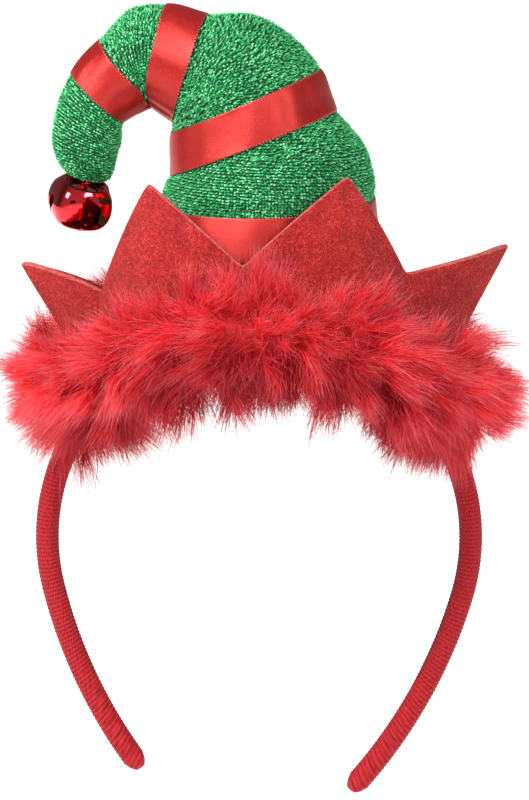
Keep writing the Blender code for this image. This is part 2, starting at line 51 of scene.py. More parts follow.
# Sizes of the frame's own solids
CLEARANCE = 0.3 * MM
BAND_CROWN_RADIUS = 66.0 * MM
BAND_CROWN_ANGLE = math.radians(105.0)
BAND_ARM_RADIUS = 160.0 * MM
BAND_HALF_LENGTH = 188.5 * MM
BAND_OFFSET = 3.5 * MM
BAND_THICKNESS = 7.0 * MM
BAND_WIDTH = 9.0 * MM
PAD_HALF_LENGTH = 61.0 * MM
PAD_HALF_DEPTH = 43.0 * MM
PAD_THICKNESS = 2.0 * MM
HAT_HALF_WIDTH = 40.0 * MM
HAT_HALF_DEPTH = 38.0 * MM
HAT_HEIGHT = 93.0 * MM
COLLAR_HEIGHT = 55.0 * MM
COLLAR_INSET = 0.8 * MM
TRIM_OUTSET = 5.5 * MM
TRIM_LIFT_FRONT = -1.0 * MM
TRIM_LIFT_SIDE = 3.5 * MM
BELL_RADIUS = 9.4 * MM
BELL_HALF_HEIGHT = 7.6 * MM
BELL_WALL = 0.8 * MM
BELL_DISH_RADIUS = 6.6 * MM
BELL_DISH_DEPTH = 2.2 * MM
BELL_DISH_FLOOR = 0.7
BELL_BROW = 0.6 * MM
BELL_FOOT_DROP = 0.2 * MM
BELL_SQUARENESS = 3.5
BELL_FLANK_ABOVE = 0.40
BELL_FLANK_BELOW = 0.85
BELL_FOOT_ANGLE = math.radians(78.0)
BELL_SLIT = 1.1 * MM
BELL_HOLE_RADIUS = 1.9 * MM
BELL_LOOP_RADIUS = 1.5 * MM
BELL_LOOP_WIRE = 0.6 * MM
BELL_LEAN_RIGHT = math.radians(14.0)
BELL_LEAN_FRONT = math.radians(15.0)
BELL_TURN = math.radians(22.0)
PELLET_RADIUS = 2.2 * MM

ARCH_CENTRE_Z = BAND_THICKNESS / 2 - BAND_CROWN_RADIUS
BAND_OUTER_RADIUS = BAND_CROWN_RADIUS + BAND_THICKNESS / 2
PAD_INNER_RADIUS = BAND_OUTER_RADIUS + CLEARANCE
PAD_OUTER_RADIUS = PAD_INNER_RADIUS + PAD_THICKNESS
SEAT_RADIUS = PAD_OUTER_RADIUS + CLEARANCE
SEAT_Z = ARCH_CENTRE_Z + SEAT_RADIUS

# Rows of the hat: place along it, inner x and z, outer x and z, depth, lead
HAT_ROWS = np.array((
    (0.000, -0.985, 0.000, 1.000, 0.000, 1.000, 0.00),
    (0.133, -0.875, 0.184, 0.865, 0.227, 0.900, -0.02),
    (0.233, -0.808, 0.342, 0.803, 0.382, 0.825, -0.05),
    (0.268, -0.800, 0.384, 0.806, 0.446, 0.825, -0.02),
    (0.315, -0.772, 0.418, 0.714, 0.556, 0.785, 0.02),
    (0.361, -0.738, 0.440, 0.498, 0.667, 0.705, 0.05),
    (0.456, -0.737, 0.583, 0.368, 0.800, 0.635, 0.06),
    (0.504, -0.735, 0.596, 0.150, 0.905, 0.615, 0.08),
    (0.553, -0.732, 0.610, -0.165, 0.975, 0.555, 0.08),
    (0.598, -0.728, 0.624, -0.500, 0.972, 0.465, 0.07),
    (0.668, -0.903, 0.676, -0.815, 0.999, 0.405, 0.13),
    (0.707, -0.924, 0.676, -1.090, 0.983, 0.400, 0.07),
    (0.756, -0.943, 0.671, -1.318, 0.879, 0.345, 0.00),
    (0.831, -1.127, 0.617, -1.518, 0.765, 0.285, 0.05),
    (0.892, -1.155, 0.551, -1.632, 0.656, 0.275, 0.08),
    (0.946, -1.188, 0.489, -1.660, 0.551, 0.250, 0.08),
    (0.977, -1.207, 0.450, -1.630, 0.491, 0.220, 0.08),
    (1.000, -1.234, 0.421, -1.575, 0.453, 0.175, 0.08),
))
HAT_TIP = Vector((-1.400 * HAT_HALF_WIDTH, 0.0, SEAT_Z + 0.424 * HAT_HEIGHT))
HAT_CAP_SPAN = 0.035
HAT_END = 1.0 + HAT_CAP_SPAN
HAT_FRONT = math.pi / 2

# Each ribbon with the places where it starts and ends, and its kinks: where
# they are in degrees round the hat, how wide, and how deep in millimetres
BASE_KINKS = ((70.0, 12.0, 0.5), (112.0, 9.0, 0.4), (160.0, 11.0, 0.5))
LOWER_KINKS = ((42.0, 7.0, 0.60), (62.0, 5.0, 0.25), (98.6, 8.0, 0.62), (132.0, 7.0, 0.40))
UPPER_KINKS = (
    (62.0, 17.0, 0.35),
    (126.0, 9.0, 0.45),
    (149.0, 5.0, 0.50),
    (162.0, 4.0, 0.45),
    (173.0, 4.0, 0.45),
)
TIP_KINKS = ((48.0, 16.0, 0.30), (112.0, 20.0, 0.35), (158.0, 14.0, 0.30))
RIBBONS = (
    ("satin_base", "ribbon_base", 0.133, 0.233, BASE_KINKS),
    ("satin_lower", "ribbon_lower", 0.361, 0.456, LOWER_KINKS),
    ("satin_upper", "ribbon_upper", 0.598, 0.668, UPPER_KINKS),
    ("satin_tip", "ribbon_tip", 0.756, 0.831, TIP_KINKS),
)

# Points and valleys of the collar: degrees from the front, height, lean
COLLAR_ROWS = (
    (-180.0, 0.40, -4.0),
    (-155.0, 0.84, -4.0),
    (-128.0, 0.24, -3.0),
    (-90.0, 0.775, 32.0),
    (-68.0, 0.49, 0.0),
    (-39.0, 0.945, 1.0),
    (-6.8, 0.335, -4.0),
    (26.0, 0.93, -6.0),
    (53.0, 0.56, -4.0),
    (90.0, 0.92, 24.5),
    (128.0, 0.30, -3.0),
    (155.0, 0.86, -4.0),
)


CAMERA_ELEVATION = math.radians(9.0)
CAMERA_ROLL = math.radians(1.5)
CAMERA_DISTANCE = 1.722
CAMERA_LENS = 250.0
PICTURE_PIXEL = 0.31 * MM
AIM_RIGHT = 0.1 * PICTURE_PIXEL
AIM_DOWN = 72 * PICTURE_PIXEL
AIM_POINT = Vector((0.0, 0.0, 3.5 * MM))


def set_camera():
    """A long lens, a little above the piece, as in the photograph."""
    toward = Vector((0.0, -math.cos(CAMERA_ELEVATION), math.sin(CAMERA_ELEVATION)))
    right = Vector((math.cos(CAMERA_ROLL), 0.0, math.sin(CAMERA_ROLL)))
    right = (right - toward * right.dot(toward)).normalized()
    up = toward.cross(right)
    aim = AIM_POINT + right * AIM_RIGHT - up * AIM_DOWN
    data = bpy.data.cameras.new("camera")
    data.lens = CAMERA_LENS
    data.sensor_width = 36.0
    data.clip_end = 50.0
    camera = bpy.data.objects.new("camera", data)
    place = Matrix((right, up, toward)).transposed().to_4x4()
    place.translation = aim + toward * CAMERA_DISTANCE
    camera.matrix_world = place
    bpy.context.scene.collection.objects.link(camera)
    bpy.context.scene.camera = camera


set_camera()
bpy.context.scene.view_settings.view_transform = "Standard"
bpy.context.scene.view_settings.look = "None"


# Short ways to wire a material

def feed(tree, socket, value):
    """Link a socket, or set it."""
    if isinstance(value, bpy.types.NodeSocket):
        tree.links.new(value, socket)
    else:
        socket.default_value = value


def add_node(tree, kind, sockets=None, **settings):
    """A shader node with its settings made and its sockets fed."""
    node = tree.nodes.new("ShaderNode" + kind)
    for name, value in settings.items():
        setattr(node, name, value)
    for name, value in (sockets or {}).items():
        feed(tree, node.inputs[name], value)
    return node


def sum_up(tree, operation, first, second=0.0, clamp=False):
    """One step of arithmetic."""
    node = add_node(tree, "Math", operation=operation, use_clamp=clamp)
    feed(tree, node.inputs[0], first)
    feed(tree, node.inputs[1], second)
    return node.outputs[0]


def grain(tree, where, scale, detail=2.0, roughness=0.55, distortion=0.0):
    """Cloudy noise between 0 and 1."""
    sockets = {"Vector": where, "Scale": scale, "Detail": detail}
    sockets["Roughness"] = roughness
    sockets["Distortion"] = distortion
    return add_node(tree, "TexNoise", sockets).outputs[0]


def ramp(tree, share, *stops):
    """Colours spread along a share from 0 to 1."""
    node = add_node(tree, "ValToRGB", {"Fac": share})
    elements = node.color_ramp.elements
    while len(elements) < len(stops):
        elements.new(0.5)
    for element, (position, colour) in zip(elements, stops):
        element.position = position
        element.color = (*colour, 1.0)
    return node.outputs[0]


def blend_colours(tree, share, first, second, mode="MIX"):
    """Two colours, mixed by a share."""
    node = add_node(tree, "Mix", data_type="RGBA", blend_type=mode)
    for index, value in ((0, share), (6, first), (7, second)):
        feed(tree, node.inputs[index], value)
    return node.outputs[2]


def grey(tree, value, low, high):
    """A share spread over another range."""
    sockets = {"Value": value, "From Min": 0.0, "From Max": 1.0, "To Min": low, "To Max": high}
    return add_node(tree, "MapRange", sockets).outputs[0]


def stretch(tree, where, scale):
    """Coordinates scaled by axis, so that a grain runs one way."""
    return add_node(tree, "Mapping", {"Vector": where, "Scale": scale}).outputs[0]


def relief(tree, height, depth, strength=1.0):
    """A bump of a real depth."""
    sockets = {"Height": height, "Distance": depth, "Strength": strength}
    return add_node(tree, "Bump", sockets).outputs[0]


def new_finish(name, **sockets):
    """A new material with fixed values on its shader."""
    material = bpy.data.materials.new(name)
    material.use_nodes = True
    tree = material.node_tree
    shader = tree.nodes["Principled BSDF"]
    for key, value in sockets.items():
        shader.inputs[key.replace("_", " ").title().replace("Ior", "IOR")].default_value = value
    return material, tree, shader


def object_place(tree):
    """Coordinates on the piece, in metres."""
    return add_node(tree, "TexCoord").outputs["Object"]


def own_map(tree, name):
    """The two shares of a piece's own map."""
    node = add_node(tree, "UVMap", uv_map=name)
    split = add_node(tree, "SeparateXYZ", {"Vector": node.outputs[0]})
    return split.outputs[0], split.outputs[1], node.outputs[0]


# Finishes

BLACK = (0.0, 0.0, 0.0)
WHITE = (1.0, 1.0, 1.0)
BAND_THREADS = 30
STITCHED_EDGE = 0.42 * MM


def finish_felt(name, dark, body_red, pale_red):
    """Matted red wool felt, crossed by paler curly fibres."""
    material, tree, shader = new_finish(
        name, roughness=0.95, specular_ior_level=0.2, sheen_weight=0.05, sheen_roughness=0.5
    )
    where = object_place(tree)
    tufts = grain(tree, where, 1500.0, 4.0, 0.7, 1.6)
    clouds = grain(tree, where, 170.0, 4.0, 0.6)
    body = ramp(tree, tufts, (0.38, dark), (0.51, body_red), (0.62, pale_red))
    worn = ramp(tree, clouds, (0.35, (0.55, 0.55, 0.55)), (0.62, BLACK))
    body = blend_colours(tree, worn, body, (*dark, 1.0))
    strands = None
    for scale in ((1900.0, 800.0, 360.0), (360.0, 800.0, 1900.0), (1100.0, 800.0, 1100.0)):
        fibres = grain(tree, stretch(tree, where, scale), 1.0, 3.0, 0.6, 2.2)
        strands = fibres if strands is None else sum_up(tree, "MAXIMUM", strands, fibres)
    shown = ramp(tree, strands, (0.60, BLACK), (0.70, (0.75, 0.75, 0.75)))
    body = blend_colours(tree, shown, body, (*pale_red, 1.0))
    feed(tree, shader.inputs["Base Color"], body)
    height = sum_up(tree, "ADD", tufts, strands)
    feed(tree, shader.inputs["Normal"], relief(tree, height, 0.8 * MM))
    return material


def finish_band():
    """Ribbed red fabric, wound tight round the band, with a dotted weave, its rib grooves darkened with
    painted shade.
    """
    material, tree, shader = new_finish(
        "band_fabric", roughness=0.85, specular_ior_level=0.25, sheen_weight=0.03, sheen_roughness=0.45
    )
    where = object_place(tree)
    along, around, both = own_map(tree, "cover")
    ribs = sum_up(tree, "COSINE", sum_up(tree, "MULTIPLY", along, FULL_TURN))
    skew = sum_up(tree, "MULTIPLY", along, math.pi)
    threads_round = sum_up(tree, "MULTIPLY", around, BAND_THREADS * FULL_TURN)
    dots = sum_up(tree, "SINE", sum_up(tree, "ADD", threads_round, skew))
    threads = grain(tree, stretch(tree, both, (2.6, 34.0, 1.0)), 1.0, 3.0, 0.6)
    clouds = grain(tree, where, 160.0, 3.0)
    # Painted shade: the rib wave darkens the grooves between the ribs, on top of the weave's dots and
    # threads.
    painted_groove_shade = sum_up(tree, "MULTIPLY", ribs, 0.12)
    dot_shade = sum_up(tree, "MULTIPLY", dots, 0.045)
    shade = sum_up(tree, "ADD", painted_groove_shade, dot_shade)
    shade = sum_up(tree, "ADD", shade, grey(tree, threads, 0.05, 0.90))
    body = ramp(
        tree,
        shade,
        (0.20, (0.08, 0.001, 0.003)),
        (0.46, (0.31, 0.005, 0.009)),
        (0.82, (0.56, 0.026, 0.034)),
    )
    body = blend_colours(tree, grey(tree, clouds, 0.0, 0.3), body, (0.23, 0.004, 0.008, 1.0))
    feed(tree, shader.inputs["Base Color"], body)
    height = sum_up(tree, "ADD", threads, sum_up(tree, "MULTIPLY", dots, 0.20))
    feed(tree, shader.inputs["Normal"], relief(tree, height, 0.30 * MM))
    return material


def finish_plush_ground():
    """The knitted ground under the pile, painted near black as the shade deep between the tufts."""
    material, tree, shader = new_finish("plush_ground", roughness=0.95)
    where = object_place(tree)
    clouds = grain(tree, where, 500.0, 3.0)
    # Painted shade: near black green, standing for the shade between the tufts.
    body = ramp(tree, clouds, (0.3, (0.001, 0.020, 0.006)), (0.7, (0.002, 0.060, 0.018)))
    feed(tree, shader.inputs["Base Color"], body)
    feed(tree, shader.inputs["Normal"], relief(tree, clouds, 0.3 * MM))
    return material


def finish_plush_pile():
    """Shiny green pile, painted dark at its foot as shade and pale at its tips as light, with painted
    glints on some tufts.
    """
    material, tree, shader = new_finish(
        "green_plush", roughness=0.30, specular_ior_level=0.5, sheen_weight=0.04, sheen_roughness=0.4
    )
    shader.inputs["Sheen Tint"].default_value = (0.3, 1.0, 0.5, 1.0)
    shader.inputs["Specular Tint"].default_value = (0.45, 1.0, 0.60, 1.0)
    where = object_place(tree)
    tone, height, both = own_map(tree, "pile")
    # Painted shade and light: near black at the foot of the pile, pale green at its tips.
    body = ramp(
        tree,
        height,
        (0.00, (0.001, 0.018, 0.006)),
        (0.40, (0.005, 0.230, 0.050)),
        (1.00, (0.095, 1.000, 0.340)),
    )
    clouds = grain(tree, where, 60.0, 3.0)
    body = blend_colours(tree, grey(tree, tone, -0.4, 0.85), body, (0.001, 0.060, 0.014, 1.0))
    # Painted glints: pale green laid on the upper parts of some tufts and hairs.
    painted_glint_share = ramp(tree, tone, (0.10, WHITE), (0.40, BLACK))
    painted_glint = sum_up(tree, "MULTIPLY", painted_glint_share, height)
    body = blend_colours(tree, painted_glint, body, (0.40, 0.98, 0.56, 1.0))
    body = blend_colours(tree, grey(tree, clouds, 0.0, 0.30), body, (0.030, 0.42, 0.120, 1.0))
    feed(tree, shader.inputs["Base Color"], body)
    return material


def finish_satin():
    """Red satin ribbon: long bright floats, with a stitched edge."""
    material, tree, shader = new_finish(
        "red_satin",
        metallic=0.45,
        roughness=0.34,
        anisotropic=0.75,
        anisotropic_rotation=0.25,
        specular_ior_level=0.8,
    )
    shader.inputs["Specular Tint"].default_value = (1.0, 0.55, 0.50, 1.0)
    along, edge, both = own_map(tree, "weave")
    floats = grain(tree, stretch(tree, both, (0.55, 5.5, 1.0)), 1.0, 4.0, 0.65)
    slubs = grain(tree, stretch(tree, both, (0.10, 0.35, 1.0)), 1.0, 2.0)
    body = ramp(
        tree,
        floats,
        (0.30, (0.29, 0.007, 0.006)),
        (0.55, (0.42, 0.015, 0.013)),
        (0.75, (0.59, 0.046, 0.040)),
    )
    body = blend_colours(tree, grey(tree, slubs, 0.0, 0.4), body, (0.38, 0.014, 0.013, 1.0))
    beat = sum_up(tree, "SINE", sum_up(tree, "MULTIPLY", along, FULL_TURN))
    stitch = sum_up(tree, "GREATER_THAN", beat, -0.1)
    near = sum_up(tree, "LESS_THAN", edge, STITCHED_EDGE / MM)
    knots = sum_up(tree, "MULTIPLY", stitch, near)
    rim = blend_colours(tree, knots, (0.16, 0.010, 0.006, 1.0), (0.60, 0.09, 0.06, 1.0))
    body = blend_colours(tree, near, body, rim)
    feed(tree, shader.inputs["Base Color"], body)
    feed(tree, shader.inputs["Roughness"], grey(tree, floats, 0.27, 0.40))
    crossing = grain(tree, stretch(tree, both, (2.2, 3.4, 1.0)), 1.0, 3.0, 0.7)
    height = sum_up(tree, "ADD", floats, crossing)
    height = sum_up(tree, "ADD", height, sum_up(tree, "MULTIPLY", knots, 1.5))
    feed(tree, shader.inputs["Normal"], relief(tree, height, 0.09 * MM))
    tangent = add_node(tree, "Tangent", direction_type="UV_MAP", uv_map="weave")
    feed(tree, shader.inputs["Tangent"], tangent.outputs[0])
    return material


def finish_feather(name, shadow, root, middle, tip, through):
    """Soft dyed down that lets some light through, blended toward a shadow colour by its strand tone as
    painted shade.
    """
    material, tree, shader = new_finish(name, roughness=0.75, specular_ior_level=0.08)
    where = object_place(tree)
    tone, height, both = own_map(tree, "strand")
    body = ramp(tree, height, (0.0, root), (0.55, middle), (1.0, tip))
    clouds = grain(tree, where, 70.0, 2.0)
    # A high strand tone blends in the shadow colour; on the trim that tone carries painted shade for the
    # underside.
    body = blend_colours(tree, grey(tree, tone, 0.0, 0.85), body, (*shadow, 1.0))
    body = blend_colours(tree, grey(tree, clouds, 0.0, 0.25), body, (*middle, 1.0))
    feed(tree, shader.inputs["Base Color"], body)
    glow = add_node(tree, "BsdfTranslucent", {"Color": body})
    mix = add_node(tree, "MixShader", {"Fac": through})
    tree.links.new(shader.outputs[0], mix.inputs[1])
    tree.links.new(glow.outputs[0], mix.inputs[2])
    tree.links.new(mix.outputs[0], tree.nodes["Material Output"].inputs["Surface"])
    return material


def finish_core():
    """The matted heart of the trim, coloured dark as painted shade deep inside it."""
    material, tree, shader = new_finish("feather_core_painted_shade", roughness=0.95)
    clouds = grain(tree, object_place(tree), 400.0, 3.0)
    # Painted shade: the heart is dark red, the shade deep inside the trim.
    body = ramp(tree, clouds, (0.3, (0.22, 0.003, 0.007)), (0.7, (0.50, 0.010, 0.018)))
    feed(tree, shader.inputs["Base Color"], body)
    feed(tree, shader.inputs["Normal"], relief(tree, clouds, 0.8 * MM))
    return material


def finish_bell():
    """Mirror bright red lacquer on metal."""
    material, tree, shader = new_finish(
        "red_metal", metallic=1.0, roughness=0.1, coat_weight=0.6, coat_roughness=0.04
    )
    where = object_place(tree)
    haze = grain(tree, where, 600.0, 3.0)
    clouds = grain(tree, where, 220.0, 2.0)
    body = ramp(tree, clouds, (0.3, (0.74, 0.010, 0.022)), (0.7, (0.86, 0.018, 0.034)))
    feed(tree, shader.inputs["Base Color"], body)
    feed(tree, shader.inputs["Roughness"], grey(tree, haze, 0.03, 0.09))
    feed(tree, shader.inputs["Normal"], relief(tree, clouds, 0.03 * MM))
    return material


def finish_steel():
    """Plain steel of the pellet."""
    material, tree, shader = new_finish("steel", metallic=1.0, roughness=0.3)
    scratches = grain(tree, object_place(tree), 3000.0, 3.0)
    body = ramp(tree, scratches, (0.3, (0.36, 0.36, 0.37)), (0.7, (0.52, 0.52, 0.53)))
    feed(tree, shader.inputs["Base Color"], body)
    feed(tree, shader.inputs["Roughness"], grey(tree, scratches, 0.22, 0.40))
    return material


def finish_floor():
    """The plain pale floor, glowing with painted light, dimmer in front of the piece and full behind it.
    """
    material, tree, shader = new_finish("pale_floor", roughness=0.9)
    where = object_place(tree)
    clouds = grain(tree, where, 3.0)
    body = ramp(tree, clouds, (0.3, (0.60, 0.60, 0.60)), (0.7, (0.62, 0.62, 0.62)))
    feed(tree, shader.inputs["Base Color"], body)
    # Painted light: the floor glows, at 0.30 in front of the piece up to full strength from its middle
    # back.
    split = add_node(tree, "SeparateXYZ", {"Vector": where})
    sockets = {"Value": split.outputs[1], "From Min": -0.5, "From Max": 0.0, "To Min": 0.30, "To Max": 1.0}
    glow = add_node(tree, "MapRange", sockets, clamp=True).outputs[0]
    shader.inputs["Emission Color"].default_value = (1.0, 1.0, 1.0, 1.0)
    feed(tree, shader.inputs["Emission Strength"], glow)
    return material


FELT = finish_felt("red_felt", (0.22, 0.002, 0.004), (0.52, 0.010, 0.012), (0.82, 0.070, 0.060))
# A paler copy of the felt for the collar's cut edge: painted highlight.
FELT_EDGE_PAINTED_HIGHLIGHT = finish_felt("felt_edge_painted_highlight", (0.42, 0.030, 0.032), (0.66, 0.110, 0.100), (0.82, 0.26, 0.22))
FELT_FIBRE = finish_feather(
    "felt_fibre",
    shadow=(0.50, 0.030, 0.028),
    root=(0.50, 0.030, 0.028),
    middle=(0.78, 0.160, 0.130),
    tip=(0.90, 0.340, 0.280),
    through=0.25,
)
BAND_COVER = finish_band()
PLUSH_GROUND = finish_plush_ground()
PLUSH_PILE = finish_plush_pile()
SATIN = finish_satin()
# Painted light and shade: the pale pink tips stand for light glowing through the thin ends, the shadow
# colour for the trim's shaded underside.
FEATHER = finish_feather(
    "red_feather",
    shadow=(0.30, 0.003, 0.007),
    root=(0.90, 0.008, 0.020),
    middle=(1.00, 0.078, 0.105),
    tip=(1.00, 0.440, 0.470),
    through=0.50,
)
FEATHER_CORE_PAINTED_SHADE = finish_core()
BELL_RED = finish_bell()
STEEL = finish_steel()
FLOOR_WHITE = finish_floor()


# Meshes

def add_piece(name, points, faces, material, node=None):
    """A finished piece that rides on the body, smooth all over."""
    mesh = bpy.data.meshes.new(name)
    mesh.from_pydata(np.asarray(points).tolist(), [], [list(face) for face in faces])
    mesh.shade_smooth()
    mesh.materials.append(material)
    piece = bpy.data.objects.new(name, mesh)
    bpy.context.scene.collection.objects.link(piece)
    hold_piece(piece, node)
    return piece


def hold_piece(piece, node=None):
    """Tell the frame what the piece rides on and stands for."""
    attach(piece, "root")
    if node:
        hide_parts(node)


def add_map(piece, name, values):
    """A map on the piece, from two numbers for each vertex."""
    layer = piece.data.uv_layers.new(name=name)
    corners = np.empty(len(piece.data.loops), dtype=np.int32)
    piece.data.loops.foreach_get("vertex_index", corners)
    layer.data.foreach_set("uv", np.asarray(values, dtype=np.float32)[corners].ravel())


def skin(rings, columns, closed=False):
    """Quads over rings of points that are numbered one after another."""
    faces = []
    last = rings if closed else rings - 1
    for i in range(last):
        low = i * columns
        high = ((i + 1) % rings) * columns
        for k in range(columns):
            j = (k + 1) % columns
            faces.append((low + k, low + j, high + j, high + k))
    return faces


def turn_outward(piece):
    """Point every face of a closed piece outward."""
    work = bmesh.new()
    work.from_mesh(piece.data)
    bmesh.ops.recalc_face_normals(work, faces=work.faces)
    work.to_mesh(piece.data)
    work.free()


# The hat

def smooth_column(column, place):
    """Values of a column on the smooth curve through the rows."""
    at = HAT_ROWS[:, 0]
    value = HAT_ROWS[:, column]
    slope = np.empty_like(value)
    slope[1:-1] = (value[2:] - value[:-2]) / (at[2:] - at[:-2])
    slope[0] = (value[1] - value[0]) / (at[1] - at[0])
    slope[-1] = (value[-1] - value[-2]) / (at[-1] - at[-2])
    k = np.clip(np.searchsorted(at, place) - 1, 0, len(at) - 2)
    width = at[k + 1] - at[k]
    t = (place - at[k]) / width
    start = (1 + 2 * t) * (1 - t) ** 2 * value[k]
    end = t * t * (3 - 2 * t) * value[k + 1]
    return start + end + t * (1 - t) ** 2 * width * slope[k] + t * t * (t - 1) * width * slope[k + 1]


def hat_surface(place, angle):
    """Points of the bare hat. Angle 0 is the outer side, a quarter turn the front."""
    place, angle = np.broadcast_arrays(np.asarray(place, float), np.asarray(angle, float))
    side = np.minimum(place, 1.0)
    inner_x = smooth_column(1, side) * HAT_HALF_WIDTH
    inner_z = smooth_column(2, side) * HAT_HEIGHT
    outer_x = smooth_column(3, side) * HAT_HALF_WIDTH
    outer_z = smooth_column(4, side) * HAT_HEIGHT
    depth = smooth_column(5, side) * HAT_HALF_DEPTH
    lead = smooth_column(6, side) * depth
    across_x = (outer_x - inner_x) / 2
    across_z = (outer_z - inner_z) / 2
    size = np.hypot(across_x, across_z)
    around = np.cos(angle)
    front = np.sin(angle)
    spread_x = across_x * around - across_z / size * lead * front
    spread_z = across_z * around + across_x / size * lead * front
    closing = np.clip((place - 1.0) / HAT_CAP_SPAN, 0.0, 1.0)
    centre_x = (inner_x + outer_x) / 2
    centre_z = (inner_z + outer_z) / 2 + SEAT_Z
    dome = 1.0 - (1.0 - closing) ** 2
    x = centre_x + spread_x * (1 - closing) + (HAT_TIP.x - centre_x) * dome
    y = -depth * front * (1 - closing)
    z = centre_z + spread_z * (1 - closing) + (HAT_TIP.z - centre_z) * dome
    settle = np.maximum(0.0, 1.0 - place / HAT_ROWS[1, 0]) ** 2
    drop = np.sqrt(np.maximum(SEAT_RADIUS ** 2 - x ** 2, 0.0)) - SEAT_RADIUS
    return np.stack((x, y, z + drop * settle), axis=-1)


def unit(vectors):
    """Vectors brought to length one."""
    return vectors / np.maximum(np.linalg.norm(vectors, axis=-1, keepdims=True), 1e-12)


SMALL_STEP = 0.002
SWELL = 0.30 * MM
RIPPLE = 0.14 * MM
CALM_TIP = 0.08
CALM_FOOT = 0.05


def hat_frame(place, angle):
    """Point, outward, onward and around directions at places on the hat."""
    onward = hat_surface(np.minimum(place + SMALL_STEP, HAT_END), angle)
    onward = unit(onward - hat_surface(np.maximum(place - SMALL_STEP, 0.0), angle))
    around = unit(hat_surface(place, angle + SMALL_STEP) - hat_surface(place, angle - SMALL_STEP))
    outward = unit(np.cross(onward, around))
    return hat_surface(place, angle), outward, onward, around


def stuffing(place, angle):
    """Slow swells of the stuffing under the cloth."""
    swell = np.sin(3 * angle + 9.0 * place + 0.7) * np.sin(31.0 * place + 1.1)
    ripple = np.sin(7 * angle - 23.0 * place) * np.sin(57.0 * place + 2 * angle)
    calm = np.clip((HAT_END - place) / CALM_TIP, 0.0, 1.0) * np.clip(place / CALM_FOOT, 0.0, 1.0)
    return (SWELL * swell + RIPPLE * ripple) * calm


def hat_cloth(place, angle, lift=0.0):
    """Points at a height over the stuffed cloth."""
    point, outward, onward, around = hat_frame(place, angle)
    height = np.asarray(stuffing(place, angle) + lift)
    return point + outward * height[..., None]


HAT_RINGS = 120
HAT_COLUMNS = 112
SEAT_RINGS = 6


def make_hat():
    """The stuffed body of the hat, closed at its seat and its tip."""
    angles = np.arange(HAT_COLUMNS) * FULL_TURN / HAT_COLUMNS
    rim = hat_surface(0.0, angles)
    rings = []
    for i in range(1, SEAT_RINGS):
        ring = rim * (i / SEAT_RINGS)
        ring[:, 2] = ARCH_CENTRE_Z + np.sqrt(SEAT_RADIUS ** 2 - ring[:, 0] ** 2)
        rings.append(ring)
    for i in range(HAT_RINGS):
        rings.append(hat_cloth(HAT_END * i / HAT_RINGS, angles))
    points = np.concatenate(rings)
    faces = skin(len(rings), HAT_COLUMNS)
    foot = len(points)
    top = foot + 1
    points = np.concatenate((points, ((0.0, 0.0, SEAT_Z), tuple(HAT_TIP))))
    last = (len(rings) - 1) * HAT_COLUMNS
    for k in range(HAT_COLUMNS):
        j = (k + 1) % HAT_COLUMNS
        faces.append((j, k, foot))
        faces.append((last + k, last + j, top))
    hat = add_piece("plush_hat", points, faces, PLUSH_GROUND, "hat_cone")
    turn_outward(hat)


PILE_PITCH = 0.90 * MM
PILE_COLUMN_PITCH = 0.98 * MM
PILE_HEIGHT = 0.95 * MM
PILE_MARGIN = 0.30 * MM
LEVEL_ROWS_END = 0.34
TURNED_ROWS_START = 0.64
TUFT_HALF_ROW = 0.30 * MM
TUFT_HALF_COLUMN = 0.52 * MM
TUFT_SIDES = 4
TUFT_ROOT_DEPTH = 0.05 * MM
TUFT_HEIGHTS = (0.66, 1.12)
TUFT_GIRTHS = (0.75, 1.15)
TUFT_STRAY = 0.12 * MM
HAIRS_PER_TUFT = 3
HAIR_WIDTH = 0.26 * MM
HAIR_REACH = (0.90, 1.35)
HAIR_ACROSS = 0.4
HAIR_ALONG = 0.22
SPARE_ROOM = (1.15, 1.65)
CURVED_PLACES = (0.40, 0.62)
CURVED_STRAY = 0.0016
EVEN_STRAY = 0.0007
LOWER_PILE_END = 0.33
FINE_PLACES = 1200
FINE_TURNS = 541


def running_length(points):
    """Length along a line of points, from its start."""
    steps = np.linalg.norm(np.diff(points, axis=0), axis=-1)
    return np.concatenate(((0.0,), np.cumsum(steps)))


def soft_step(share):
    """A smooth rise from 0 to 1."""
    share = np.clip(share, 0.0, 1.0)
    return share * share * (3 - 2 * share)


